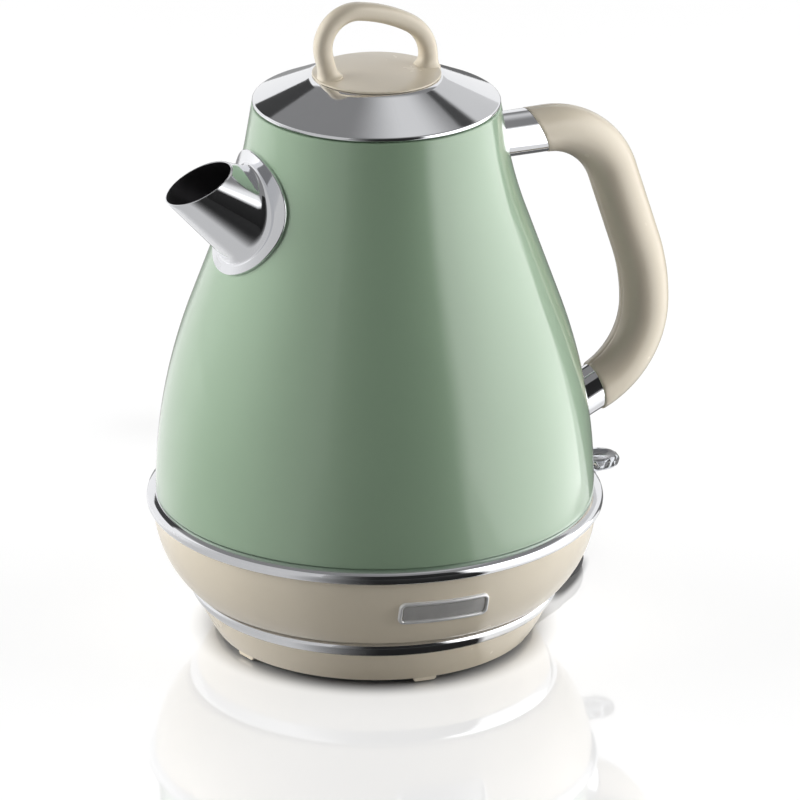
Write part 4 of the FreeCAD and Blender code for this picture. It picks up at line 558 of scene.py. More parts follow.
class Skin:
    """Points and faces of one piece, gathered from grids and end caps."""

    def __init__(self):
        self.points = []
        self.faces = []
        self.finishes = []
        self.count = 0

    def take(self, points, faces, finish_number=0):
        """Adds points, and faces that number them, with one of the piece's finishes."""
        self.points.append(np.asarray(points).reshape(-1, 3))
        self.faces += (np.asarray(faces) + self.count).tolist()
        self.finishes += [finish_number] * len(faces)
        self.count += len(self.points[-1])

    def grid(self, points, wrap_rows=False, wrap_columns=False, finish_number=0):
        """Adds a grid of points, closed on itself where asked."""
        rows, columns = points.shape[:2]
        self.take(points, grid_faces(rows, columns, wrap_rows, wrap_columns).reshape(-1, 4), finish_number)

    def turned(self, profile, count=256, middle=(0, 0, 0)):
        """Adds a closed profile turned once round an upright axis."""
        self.grid(revolved(profile, full_turn(count)) + middle, wrap_rows=True, wrap_columns=True)

    def part_turned(self, profile, start, end, count):
        """Adds a closed profile turned part of the way round, capped at both ends."""
        self.tube(revolved(profile, np.linspace(start, end, count)).transpose(1, 0, 2))

    def cap(self, ring):
        """Adds one face over a ring of points."""
        self.take(ring, [list(range(len(ring)))])

    def tube(self, points):
        """Adds a grid of rings one after another, capped at both ends."""
        self.grid(points, wrap_columns=True)
        self.cap(points[0])
        self.cap(points[-1])


def build_piece(name, skin, finishes, body, nodes, crease=38):
    """Makes the piece's mesh and object, joins its seams and poles, and hangs it on its body."""
    mesh = bpy.data.meshes.new(name)
    mesh.from_pydata(np.concatenate(skin.points), [], skin.faces)
    for finish_name in finishes:
        mesh.materials.append(finish(finish_name))
    mesh.polygons.foreach_set("material_index", skin.finishes)
    joined = bmesh.new()
    joined.from_mesh(mesh)
    bmesh.ops.remove_doubles(joined, verts=joined.verts, dist=1e-6)
    bmesh.ops.dissolve_degenerate(joined, edges=joined.edges, dist=1e-7)
    loose = [vert for vert in joined.verts if not vert.link_faces]
    bmesh.ops.delete(joined, geom=loose, context="VERTS")
    bmesh.ops.recalc_face_normals(joined, faces=joined.faces)
    joined.to_mesh(mesh)
    joined.free()
    mesh.shade_smooth()
    mesh.set_sharp_from_angle(angle=radians(crease))
    piece = bpy.data.objects.new(name, mesh)
    bpy.context.scene.collection.objects.link(piece)
    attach(piece, body)
    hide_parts(*nodes)
    return piece


# Finishes


def fill(tree, node, inputs):
    """Gives a node's inputs their values, or links them to the outputs of other nodes."""
    for key, source in inputs.items():
        if isinstance(source, bpy.types.NodeSocket):
            tree.links.new(source, node.inputs[key])
        else:
            node.inputs[key].default_value = source


def add_node(tree, kind, inputs=(), **settings):
    """A new node with its settings and inputs."""
    node = tree.nodes.new(kind)
    for key, setting in settings.items():
        setattr(node, key, setting)
    fill(tree, node, dict(inputs))
    return node


def maths(tree, operation, first, second, **settings):
    """The result of a maths node."""
    node = add_node(tree, "ShaderNodeMath", {0: first, 1: second}, operation=operation, **settings)
    return node.outputs["Value"]


def node_group(name, inputs, outputs):
    """An empty shader group with float inputs and their defaults, float outputs, and its two end nodes."""
    group = bpy.data.node_groups.new(name, "ShaderNodeTree")
    for label, default in inputs.items():
        socket = group.interface.new_socket(label, in_out="INPUT", socket_type="NodeSocketFloat")
        socket.default_value = default
    for label in outputs:
        group.interface.new_socket(label, in_out="OUTPUT", socket_type="NodeSocketFloat")
    return group, add_node(group, "NodeGroupInput").outputs, add_node(group, "NodeGroupOutput")


def mottle_group():
    """Soft cloudy change over a surface, from 0 to 1, and a fine grain for relief."""
    group = bpy.data.node_groups.get("Mottle")
    if group:
        return group
    group, given, results = node_group("Mottle", {"Cloud Scale": 30, "Grain Scale": 900}, ["Cloud", "Grain"])
    place = add_node(group, "ShaderNodeTexCoord").outputs["Object"]
    cloud = add_node(group, "ShaderNodeTexNoise", {
        "Vector": place, "Scale": given["Cloud Scale"], "Detail": 4, "Roughness": 0.6})
    spread = add_node(group, "ShaderNodeMapRange", {
        "Value": cloud.outputs["Fac"], "From Min": 0.3, "From Max": 0.7})
    grain = add_node(group, "ShaderNodeTexNoise", {
        "Vector": place, "Scale": given["Grain Scale"], "Detail": 2})
    fill(group, results, {"Cloud": spread.outputs["Result"], "Grain": grain.outputs["Fac"]})
    return group


def brush_group():
    """Fine lines round the upright axis, from noise that is squeezed by radius and height."""
    group = bpy.data.node_groups.get("Round Brushing")
    if group:
        return group
    group, given, results = node_group("Round Brushing", {"Line Scale": 1400}, ["Lines"])
    place = add_node(group, "ShaderNodeTexCoord").outputs["Object"]
    apart = add_node(group, "ShaderNodeSeparateXYZ", {"Vector": place}).outputs
    level = add_node(group, "ShaderNodeCombineXYZ", {"X": apart["X"], "Y": apart["Y"]}).outputs["Vector"]
    radius = add_node(group, "ShaderNodeVectorMath", {0: level}, operation="LENGTH").outputs["Value"]
    across = add_node(group, "ShaderNodeCombineXYZ", {"X": radius, "Z": apart["Z"]}).outputs["Vector"]
    lines = add_node(group, "ShaderNodeTexNoise", {
        "Vector": across, "Scale": given["Line Scale"], "Detail": 3})
    fill(group, results, {"Lines": lines.outputs["Fac"]})
    return group


def new_material(name):
    """An empty material, its node tree and its Principled shader."""
    material = bpy.data.materials.new(name)
    material.use_nodes = True
    return material, material.node_tree, material.node_tree.nodes["Principled BSDF"]


def finish(name):
    """A finish of the table: cloudy colour and roughness, and a grain or brushed lines as its relief."""
    ready = bpy.data.materials.get("kettle_" + name)
    if ready:
        return ready
    colour, dark, rough, cloud, grain, relief, sockets = FINISHES[name]
    colour = np.array(getattr(bpy.context.scene.kettle_colours, colour))
    material, tree, shader = new_material("kettle_" + name)
    mottle = add_node(tree, "ShaderNodeGroup", {"Cloud Scale": cloud}, node_tree=mottle_group())
    clouds, height = mottle.outputs["Cloud"], mottle.outputs["Grain"]
    if grain == BRUSHED:
        height = add_node(tree, "ShaderNodeGroup", node_tree=brush_group()).outputs["Lines"]
    else:
        mottle.inputs["Grain Scale"].default_value = grain
    tint = add_node(tree, "ShaderNodeMix", {"Factor": clouds, "A": (*colour * dark, 1), "B": (*colour, 1)},
                    data_type="RGBA")
    sheen = add_node(tree, "ShaderNodeMapRange", {"Value": clouds, "To Min": rough[0], "To Max": rough[1]})
    bump = add_node(tree, "ShaderNodeBump", {"Height": height, "Distance": RELIEF_DEPTH, "Strength": relief})
    fill(tree, shader, {"Base Color": tint.outputs["Result"], "Roughness": sheen.outputs["Result"],
                        "Normal": bump.outputs["Normal"], **sockets})
    return material


# Pieces


class KettlePiece:
    """What every piece operator shares."""

    bl_options = {"REGISTER", "UNDO"}


class KETTLE_OT_pot_wall(KettlePiece, bpy.types.Operator):
    """Builds the enamelled pot wall with its rolled top and the hole behind the spout"""

    bl_idname = "kettle.pot_wall"
    bl_label = "Pot Wall"
    rows: bpy.props.IntProperty(name="Rows", description="Grid rows up the wall", default=110)
    columns: bpy.props.IntProperty(name="Columns", description="Grid columns round the wall", default=240)

    def execute(self, context):
        sizes = context.scene.kettle_pot
        pot = PotShape(sizes)
        spout = SpoutShape(context.scene.kettle_spout, pot)
        edge = sizes.wall / 2
        heights = np.linspace(sizes.lower_height + edge, sizes.top_height - edge, self.rows)
        height, turn = np.meshgrid(heights, full_turn(self.columns), indexing="ij")
        height, turn, kept = self.open_hole(pot, spout, height, turn)
        outer = pot.point(height, turn)
        inner = pot.point(height, turn, -sizes.wall)
        skin = Skin()
        faces = grid_faces(self.rows, self.columns, False, True)[kept]
        skin.take(outer, faces)
        skin.take(inner, faces, 1)
        first, last = self.hole_edges(kept)
        shift = self.rows * self.columns
        rim = np.column_stack((first, last, last + shift, first + shift))
        skin.take(np.zeros((0, 3)), rim - skin.count, 1)
        self.roll_edges(skin, sizes, pot, outer, inner)
        finishes = ["green_enamel", "brushed_steel"]
        wall = build_piece("pot_wall", skin, finishes, "kettle", ["body_shell"])
        wall.visible_diffuse = False
        return {"FINISHED"}

    def open_hole(self, pot, spout, height, turn):
        """Moves grid points inside the spout's cone out to its edge, away from its middle on the wall."""
        inside = (spout.share(pot.point(height, turn)) < 1) & (np.cos(turn) < 0)
        up = height - spout.root_height
        round_wall = turn - pi
        stretch = np.ones_like(height)
        rounds, least = 8, 0.05
        for _ in range(rounds):
            place = pot.point(spout.root_height + up * stretch, pi + round_wall * stretch)
            stretch = np.where(inside, stretch / np.maximum(spout.share(place), least), 1)
        corners = [np.roll(inside, -step, axis=1) for step in (0, 1)]
        kept = ~(corners[0][:-1] & corners[0][1:] & corners[1][:-1] & corners[1][1:])
        return spout.root_height + up * stretch, pi + round_wall * stretch, kept

    def hole_edges(self, kept):
        """Both ends of each grid edge that has a face on one side only, inside the grid."""
        number = np.arange(self.rows * self.columns).reshape(self.rows, self.columns)
        level = kept[1:] != kept[:-1]
        upright = kept != np.roll(kept, 1, axis=1)
        first = np.concatenate((number[1:-1][level], number[:-1][upright]))
        last = np.concatenate((np.roll(number, -1, axis=1)[1:-1][level], number[1:][upright]))
        return first, last

    def roll_edges(self, skin, sizes, pot, outer, inner):
        """Closes the wall below with a half round, and above with the ledge under the lid."""
        turns = full_turn(self.columns)
        edge = sizes.wall / 2
        low = sizes.lower_height + edge
        low_radius = float(pot.radius(low)) - edge
        bottom = revolved(arc((low_radius, low), edge, 0, -pi, 7), turns)
        bottom[0] = outer[0]
        bottom[-1] = inner[0]
        skin.grid(bottom, wrap_columns=True)
        high = sizes.top_height - edge
        top_radius = float(pot.radius(high)) - edge
        opening = top_radius - sizes.ledge + edge
        ledge = np.concatenate((
            arc((top_radius, high), edge, 0, pi / 2, 5),
            arc((opening, high), edge, pi / 2, 3 * pi / 2, 9),
            [(top_radius - edge, high - edge), (top_radius - edge, high)],
        ))
        ledge = revolved(ledge, turns)
        ledge[0] = outer[-1]
        ledge[-1] = inner[-1]
        skin.grid(ledge, wrap_columns=True)


class KETTLE_OT_spout(KettlePiece, bpy.types.Operator):
    """Builds the chrome spout: a cone cut by a tilted mouth that flares into a flange on the wall"""

    bl_idname = "kettle.spout"
    bl_label = "Spout"
    # The lip's round and the flange's rim: inset and sink as shares of the lip's wall, and reach and lift as
    # shares of the flange's size and thickness.
    LIP = ((0.8, 0.08), (0.5, 0), (0.2, 0.08))
    RIM = ((0.95, 0.97), (0.97, 0.9), (0.985, 0.75), (0.995, 0.55), (1.0, 0.3), (1.0, 0.0))
    columns: bpy.props.IntProperty(name="Columns", description="Grid columns round the spout", default=128)

    def execute(self, context):
        sizes = context.scene.kettle_spout
        pot = PotShape(context.scene.kettle_pot)
        spout = SpoutShape(sizes, pot)
        turn = full_turn(self.columns)
        cut = spout.cut(turn)
        root = meet(lambda behind: pot.miss(spout.point(behind, turn)), np.full(self.columns, sizes.reach))
        share = np.linspace(0, 1, 14)[:, None]
        wall, lip_wall = sizes.wall, sizes.lip_wall
        thinned = 0.3
        inset = wall + (lip_wall - wall) * smooth((share - thinned) / (1 - thinned))
        deep = wall * 0.6
        inside = spout.point(root + deep + (cut - root) * share, turn, inset)
        lip = np.stack([spout.point(cut + lip_wall * sink, turn, lip_wall * part) for part, sink in self.LIP])
        neck, corner = 4.2 * MM, 0.9 * MM
        lip_end = cut + lip_wall * 0.3
        outside = spout.point(lip_end + (root - neck - lip_end) * share, turn)
        foot_share = np.array([[0.3]])
        foot = self.flange(pot, spout, root, turn, foot_share, sizes.flange_thick)[0]
        flare = self.flare(outside[-1], spout.point(root - corner, turn), foot)
        plate_share = np.linspace(0.35, 0.93, 8)[:, None]
        plate = self.flange(pot, spout, root, turn, plate_share, sizes.flange_thick)
        rim_share, rim_lift = np.array(self.RIM).T[:, :, None]
        rim = self.flange(pot, spout, root, turn, rim_share, sizes.flange_thick * rim_lift + HAIRLINE)
        under_share = np.linspace(0.9, 0.04, 4)[:, None]
        under = self.flange(pot, spout, root, turn, under_share, HAIRLINE)
        rows = np.concatenate((lip, outside, flare, plate, rim, under, inside[:1]))
        skin = Skin()
        skin.grid(rows, wrap_columns=True)
        # The inside of the spout takes the darker steel, whose darkness is painted shade of the hollow.
        skin.grid(np.concatenate((inside, lip[:1])), wrap_columns=True, finish_number=1)
        build_piece("spout_cone", skin, ["chrome_plate", "steel_with_painted_shade"], "kettle", ["spout"])
        return {"FINISHED"}

    def flange(self, pot, spout, root, turn, share, lift):
        """The wall between the cone's root (share 0) and the flange's oval edge (share 1), lifted off it."""
        sizes = spout.sizes
        foot = spout.point(root, turn)
        foot_turn = np.arctan2(-foot[:, 1], -foot[:, 0])
        slope = cos(float(pot.lean(spout.root_height)))
        edge_height = spout.root_height + sizes.flange_tall * slope * np.cos(turn)
        edge_turn = -np.arcsin(sizes.flange_wide * np.sin(turn) / pot.radius(edge_height))
        height = foot[:, 2] + (edge_height - foot[:, 2]) * share
        around = foot_turn + (edge_turn - foot_turn) * share
        return pot.point(height, pi + around, lift)

    def flare(self, start, corner, end):
        """Quadratic curves from the cone to the flange: (1-k)^2 start + 2k(1-k) corner + k^2 end."""
        share = np.linspace(0, 1, 12)[1:, None, None]
        return (1 - share) ** 2 * start + 2 * share * (1 - share) * corner + share ** 2 * end


class KETTLE_OT_trim_rings(KettlePiece, bpy.types.Operator):
    """Builds the two chrome rings, the upper one open at the lever"""

    bl_idname = "kettle.trim_rings"
    bl_label = "Trim Rings"

    def execute(self, context):
        self.upper(context.scene.kettle_skirt, context.scene.kettle_pot.lower_radius)
        self.lower(context.scene.kettle_base)
        return {"FINISHED"}

    def upper(self, skirt, pot_radius):
        """A band with a bowed face from the skirt's top to a shelf just below the pot's edge."""
        low, high = SKIRT_HIGH[2], POT_LOW[2] - HAIRLINE
        lower_edge = skirt.top_radius + 1.2 * MM
        upper_edge = skirt.top_radius + 2.1 * MM
        shelf = POT_LOW[2] - 1.2 * MM
        inner = pot_radius - 2.4 * MM
        bow = 2.8 * MM
        face = bowed((lower_edge, low), (upper_edge, shelf), bow, 14)
        profile = np.concatenate((face, [(pot_radius, high), (inner, high), (inner, low)]))
        gap = np.arcsin(skirt.notch_half / pot_radius)
        skin = Skin()
        skin.part_turned(profile, gap, 2 * pi - gap, 256)
        build_piece("upper_ring", skin, ["chrome_plate"], "kettle", ["upper_trim_ring"])

    def lower(self, base):
        """A band whose bowed face leans outward to a rounded upper edge."""
        bow, shoulder = 8 * MM, 2 * MM
        inner = base.ring_seat + 0.2 * MM
        edge = (base.ring_upper, base.ring_height - shoulder)
        face = bowed((base.ring_lower, base.side_height), edge, bow, 14)
        top = bowed(edge, (base.ring_upper - shoulder, base.ring_height), shoulder, 12)
        skin = Skin()
        skin.turned(np.concatenate((face, top[1:], [(inner, base.ring_height), (inner, base.side_height)])))
        build_piece("base_ring", skin, ["chrome_plate"], "power_base", ["base_trim_ring"])


class KETTLE_OT_skirt(KettlePiece, bpy.types.Operator):
    """Builds the cream skirt, lower where the lever passes through"""

    bl_idname = "kettle.skirt"
    bl_label = "Skirt"

    def execute(self, context):
        sizes = context.scene.kettle_skirt
        gap = np.arcsin(sizes.notch_half / sizes.top_radius)
        skin = Skin()
        skin.part_turned(self.profile(sizes, SKIRT_HIGH[2]), gap, 2 * pi - gap, 256)
        skin.part_turned(self.profile(sizes, sizes.notch_height), -gap, gap, 20)
        build_piece("skirt_band", skin, ["cream_plastic"], "kettle", ["skirt"])
        return {"FINISHED"}

    def profile(self, sizes, top):
        """Outer and inner arc of the wall from the lower edge up to a height, joined by short flats."""
        middle = (sizes.top_radius - sizes.bow, SKIRT_HIGH[2])
        outer = sizes.bow
        inner = sizes.bow - sizes.wall
        low = np.arcsin((SKIRT_LOW[2] - middle[1]) / outer)
        low_inside = np.arcsin((SKIRT_LOW[2] - middle[1]) / inner)
        high = np.arcsin((top - middle[1]) / outer)
        high_inside = np.arcsin((top - middle[1]) / inner)
        eased_up, eased_in = 0.6 * MM, 0.5 * MM
        return np.concatenate((
            [(middle[0] + (outer - eased_in) * np.cos(low), SKIRT_LOW[2])],
            arc(middle, outer, low + eased_up / outer, high, 30),
            arc(middle, inner, high_inside, low_inside, 20),
        ))


class KETTLE_OT_base_shell(KettlePiece, bpy.types.Operator):
    """Builds the cream power base with its deck and its short foot tabs"""

    bl_idname = "kettle.base_shell"
    bl_label = "Base Shell"
    tabs: bpy.props.IntProperty(name="Tabs", description="Foot tabs round the rim", default=5)

    def execute(self, context):
        sizes = context.scene.kettle_base
        inside = sizes.ring_seat - sizes.wall
        deck = sizes.deck_height
        deck_under = deck - 2.5 * MM
        ease = 0.4 * MM
        rim = (sizes.rim_radius, sizes.rim_height)
        side = bowed(rim, (sizes.side_radius, sizes.side_height), sizes.side_bow, 18)
        skin = Skin()
        skin.turned(np.concatenate((side, [
            (sizes.ring_seat, sizes.side_height),
            (sizes.ring_seat, deck - ease),
            (sizes.ring_seat - ease, deck),
            (sizes.deck_hole + ease, deck),
            (sizes.deck_hole, deck - ease),
            (sizes.deck_hole, deck_under),
            (inside, deck_under),
            (inside, sizes.side_height - sizes.wall),
            (sizes.rim_radius - sizes.wall, sizes.rim_height),
        ])))
        for number in range(self.tabs):
            self.tab(skin, sizes, sizes.tab_turn + 2 * pi * number / self.tabs)
        build_piece("base_housing", skin, ["cream_plastic"], "power_base", ["base_shell"])
        return {"FINISHED"}

    def tab(self, skin, sizes, turn):
        """A short curved block under the rim.

        Its outline in azimuth and height is carried through the rim's thickness, with eased ends.
        """
        half = sizes.tab_width / 2 / sizes.rim_radius
        low, high, corner = 0.8 * MM, 5 * MM, 0.8 * MM
        slip = corner / sizes.rim_radius
        around = np.array([-half, -half + slip, half - slip, half, half, -half])
        height = np.array([low + corner, low, low, low + corner, high, high])
        depth = np.array([2.0, 1.8, 0.6, 0.4])[:, None] * MM
        eased = np.array([0.15, 0.0, 0.0, 0.15])[:, None] * MM
        radius = sizes.rim_radius - depth
        height = np.maximum(height, low + eased)
        x = radius * np.cos(turn + around)
        y = radius * np.sin(turn + around)
        skin.tube(np.stack((x, y, height), axis=2))


class KETTLE_OT_badge(KettlePiece, bpy.types.Operator):
    """Builds the badge: a raised chrome frame round a bare satin field, bent to the skirt"""

    bl_idname = "kettle.badge"
    bl_label = "Badge"
    # Section of the border: share of its width from the outside, and lift off the skirt in millimetres.
    BORDER = ((0, -0.3), (0, 0.75), (0.12, 1.1), (0.35, 1.28), (0.65, 1.28), (0.88, 1.1), (1, 0.8), (1, -0.3))
    # Back and front of the field off the skirt in millimetres.
    FIELD = (-0.3, 0.6)

    def execute(self, context):
        sizes = context.scene.kettle_skirt
        border = sizes.badge_border
        skin = Skin()
        skin.grid(np.stack([self.outline(sizes, border * inset, lift * MM) for inset, lift in self.BORDER]),
                  wrap_rows=True, wrap_columns=True)
        build_piece("badge_border", skin, ["bright_border"], "kettle", ["badge_frame"])
        inset = border + 0.4 * MM
        skin = Skin()
        skin.grid(np.stack([self.outline(sizes, inset, lift * MM) for lift in self.FIELD]), wrap_columns=True)
        for lift in self.FIELD:
            skin.grid(self.field(sizes, inset, lift * MM), wrap_columns=True)
        build_piece("badge_plate", skin, ["satin_badge"], "kettle", ["badge_field"])
        return {"FINISHED"}

    def outline(self, sizes, inset, lift, shrink=1.0):
        """A rounded rectangle on the skirt, moved in by the inset and off the skirt by the lift."""
        half_wide = sizes.badge_width / 2 - inset
        half_tall = sizes.badge_tall / 2 - inset
        least = 0.2 * MM
        corner = max(sizes.badge_corner - inset, least)
        flat = rounded([(half_wide, half_tall, corner), (-half_wide, half_tall, corner),
                        (-half_wide, -half_tall, corner), (half_wide, -half_tall, corner)], 9) * shrink
        side = np.linspace(0, 1, 8, endpoint=False)[None, :, None]
        runs = np.roll(flat, -1, axis=0) - flat
        flat = (flat[:, None] + runs[:, None] * side).reshape(-1, 2)
        return self.on_skirt(sizes, flat[:, 0], flat[:, 1], lift)

    def field(self, sizes, inset, lift):
        """The rounded rectangle shrunk in steps to its middle."""
        return np.stack([self.outline(sizes, inset, lift, shrink) for shrink in np.linspace(1, 0, 10)])

    def on_skirt(self, sizes, across, up, lift):
        """Maps a flat drawing to the skirt: up along its arc, across as the sine of the azimuth."""
        turn_up = (up - sizes.badge_drop) / sizes.bow
        radius = sizes.top_radius - sizes.bow + (sizes.bow + lift) * np.cos(turn_up)
        height = SKIRT_HIGH[2] + (sizes.bow + lift) * np.sin(turn_up)
        turn = sizes.badge_turn + np.arcsin(across / radius)
        return np.stack((radius * np.cos(turn), radius * np.sin(turn), height), axis=-1)


class KETTLE_OT_grip(KettlePiece, bpy.types.Operator):
    """Builds the two halves of the grip, parted along the handle's plane"""

    bl_idname = "kettle.grip"
    bl_label = "Grip"

    def execute(self, context):
        sizes = context.scene.kettle_handle
        path = handle_path(sizes, PotShape(context.scene.kettle_pot))
        halves = (("grip_left", 1, "handle_shell_left"), ("grip_right", -1, "handle_shell_right"))
        for name, side, node in halves:
            skin = Skin()
            skin.tube(self.half(sizes, path, side))
            build_piece(name, skin, ["cream_plastic"], "kettle", [node])
        return {"FINISHED"}

    def half(self, sizes, path, side):
        """A half ring carried along the handle, its ends cut on a slant and its edges eased."""
        parting, edge = 0.03, 1 - 0.022
        turn = np.linspace(-pi / 2, pi / 2, 33)
        eased = turn * (1 - parting)
        outer = np.column_stack((np.sin(eased), np.cos(eased)))
        inner = np.column_stack((np.sin(turn[::-1]), np.cos(turn[::-1])))
        inner *= 1 - sizes.grip_wall / sizes.grip_radius
        profile = np.concatenate((outer, [(edge, 0)], inner, [(-edge, 0)]))
        start = sizes.upper_ferrule
        end = path.length - sizes.lower_ferrule
        ends = np.array([0.0, 0.1, 0.35, 0.8]) * MM
        inset = np.array([0.75, 0.4, 0.12, 0.0]) * MM
        run = np.linspace(start + ends[-1], end - ends[-1], 120)
        distance = np.concatenate((start + ends[:-1], run, end - ends[-2::-1]))[:, None]
        inset = np.concatenate((inset[:-1], np.zeros(len(run)), inset[-2::-1]))[:, None]
        swell_run = 40 * MM
        swell = smooth((distance - start) / swell_run)
        radius = sizes.upper_radius + (sizes.grip_radius - sizes.upper_radius) * swell - inset
        outward = radius * profile[:, 0]
        share = (distance - start) / (end - start)
        slanted = 0.2
        slant = UPPER_SLANT * smooth(1 - share / slanted)
        slant += LOWER_SLANT * smooth((share - 1 + slanted) / slanted)
        sideways = side * (radius * profile[:, 1] + HAIRLINE)
        return path.point(distance + slant * outward, outward, sideways)


class KETTLE_OT_ferrules(KettlePiece, bpy.types.Operator):
    """Builds the chrome ferrules that carry the grip, each cut to the pot wall"""

    bl_idname = "kettle.ferrules"
    bl_label = "Ferrules"

    def execute(self, context):
        sizes = context.scene.kettle_handle
        pot = PotShape(context.scene.kettle_pot)
        path = handle_path(sizes, pot)
        self.ferrule("upper_ferrule", sizes, pot, path, 0.0, sizes.upper_ferrule, UPPER_SLANT)
        lower_end = path.length - sizes.lower_ferrule
        self.ferrule("lower_ferrule", sizes, pot, path, path.length, lower_end, LOWER_SLANT)
        return {"FINISHED"}

    def ferrule(self, name, sizes, pot, path, wall_end, grip_end, slant):
        """A tube round the handle's line, from the wall to just inside the grip's slanted end."""
        turn = full_turn(72)
        tuck = np.sign(grip_end - wall_end) * 0.3 * MM
        rows = []
        for radius in (sizes.ferrule_radius, sizes.ferrule_radius - sizes.ferrule_wall):
            outward = radius * np.sin(turn)
            sideways = radius * np.cos(turn)
            start = meet(lambda along: pot.miss(path.point(along, outward, sideways)) - HAIRLINE,
                         np.full(len(turn), wall_end))
            end = grip_end + slant * outward + tuck
            share = np.linspace(0, 1, 14)[:, None]
            rows.append(path.point(start + (end - start) * share, outward, sideways))
        skin = Skin()
        skin.grid(np.concatenate((rows[0], rows[1][::-1])), wrap_rows=True, wrap_columns=True)
        build_piece(f"{name}_tube", skin, ["chrome_plate"], "kettle", [name])


class KETTLE_OT_lid(KettlePiece, bpy.types.Operator):
    """Builds the chrome lid cone with its rolled rim"""

    bl_idname = "kettle.lid"
    bl_label = "Lid"

    def execute(self, context):
        sizes = context.scene.kettle_lid
        low, top = LID_LOW[2], LID_HIGH[2]
        rim = LID_HIGH[0]
        shoulder = sizes.disc_radius + sizes.chrome_margin
        middle = (rim - sizes.lip, low + sizes.lip)
        slope = np.arctan2(top - middle[1], middle[0] - shoulder)
        lip_share = 0.6
        lip = arc(middle, sizes.lip, pi / 2 - slope * lip_share, -pi / 2, 14)
        foot_in, foot_up = 0.5 * MM, 0.22 * MM
        cone_foot = (lip[0][0] - foot_in, lip[0][1] + foot_up)
        share = np.linspace(0, 1, 12)[:, None]
        cone = np.array((shoulder, top)) + (np.array(cone_foot) - (shoulder, top)) * share
        lap, ease, bend_wall = 2 * MM, 0.5 * MM, sizes.wall * 1.1
        inside = sizes.disc_radius - lap
        flat, step_in, step_up = rim - 2.6 * MM, 0.6 * MM, 0.8 * MM
        under = [(flat, low), (flat - step_in, low + step_up), (shoulder, top - bend_wall),
                 (inside, top - sizes.wall)]
        skin = Skin()
        skin.turned(np.concatenate(([(inside, top), (shoulder - ease, top)], cone, lip, under)))
        build_piece("lid_cone", skin, ["chrome_plate"], "lid", ["lid_shell"], crease=50)
        return {"FINISHED"}


class KETTLE_OT_lid_grip(KettlePiece, bpy.types.Operator):
    """Builds the cream disc and the loop that grows out of it"""

    bl_idname = "kettle.lid_grip"
    bl_label = "Lid Grip"

    def execute(self, context):
        sizes = context.scene.kettle_lid
        base = LID_HIGH[2]
        crown = base + sizes.disc_crown
        edge = base + sizes.disc_edge
        rise = crown - edge
        bow = (sizes.disc_radius ** 2 + rise ** 2) / (2 * rise)
        ease, side_height, foot = 0.4 * MM, base + 0.5 * MM, base + HAIRLINE
        top_edge, foot_edge = sizes.disc_radius - 0.35 * MM, sizes.disc_radius - 1.2 * MM
        reach = np.linspace(0, top_edge, 24)
        top = np.column_stack((reach, crown - bow + np.sqrt(bow ** 2 - reach ** 2)))
        side = arc((sizes.disc_radius - ease, side_height), ease, pi / 2, -pi / 2, 9)
        profile = np.concatenate((top, side, [(foot_edge, foot), (0, foot)]))
        skin = Skin()
        skin.grid(revolved(profile, full_turn(160)), wrap_columns=True)
        skin.tube(self.loop(sizes, base, crown, bow))
        build_piece("lid_grip", skin, ["cream_plastic"], "lid", ["lid_handle"])
        return {"FINISHED"}

    def loop(self, sizes, base, crown, bow):
        """A tube along the loop, swelling towards the disc as an exponential of its height above it.

        Its section is a superellipse, |sin t|^k and |cos t|^k with their signs, a round with fuller corners.
        """
        sink = 1.4 * MM
        lean, crest = sizes.front_heading, sizes.crest_heading
        back, end = sizes.back_heading, sizes.end_heading
        start = (-sizes.loop_front + sink / tan(pi - lean), base + sizes.disc_edge - sink)
        bends = PlanePath(start, lean, [
            (sizes.front_leg + sink / sin(lean), 0),
            (sizes.front_bow * (lean - crest), crest - lean),
            (sizes.top_bow * (crest - back), back - crest),
            (sizes.back_bow * (back - end), end - back),
        ])
        total = bends.length + (bends.z[-1] - base - sizes.disc_edge + sink) / -sin(end)
        front_foot, back_foot = 9 * MM, total - 6 * MM
        distance = np.concatenate((
            np.linspace(0, front_foot, 30),
            np.linspace(front_foot, back_foot, 90)[1:-1],
            np.linspace(back_foot, total, 24),
        ))[:, None]
        middle = bends.point(distance, 0, 0.0)
        dome = crown - bow + np.sqrt(bow ** 2 - np.clip(middle[..., 0], -bow, bow) ** 2)
        above = np.maximum(middle[..., 2] - dome, 0)
        swell, fade = 1.5 * MM, 1.3 * MM
        radius = sizes.loop_radius + swell * np.exp(-above / fade)
        turn = full_turn(48)
        power = 0.78
        outward = np.sign(np.sin(turn)) * np.abs(np.sin(turn)) ** power
        sideways = np.sign(np.cos(turn)) * np.abs(np.cos(turn)) ** power
        return bends.point(distance, radius * outward, radius * sideways)


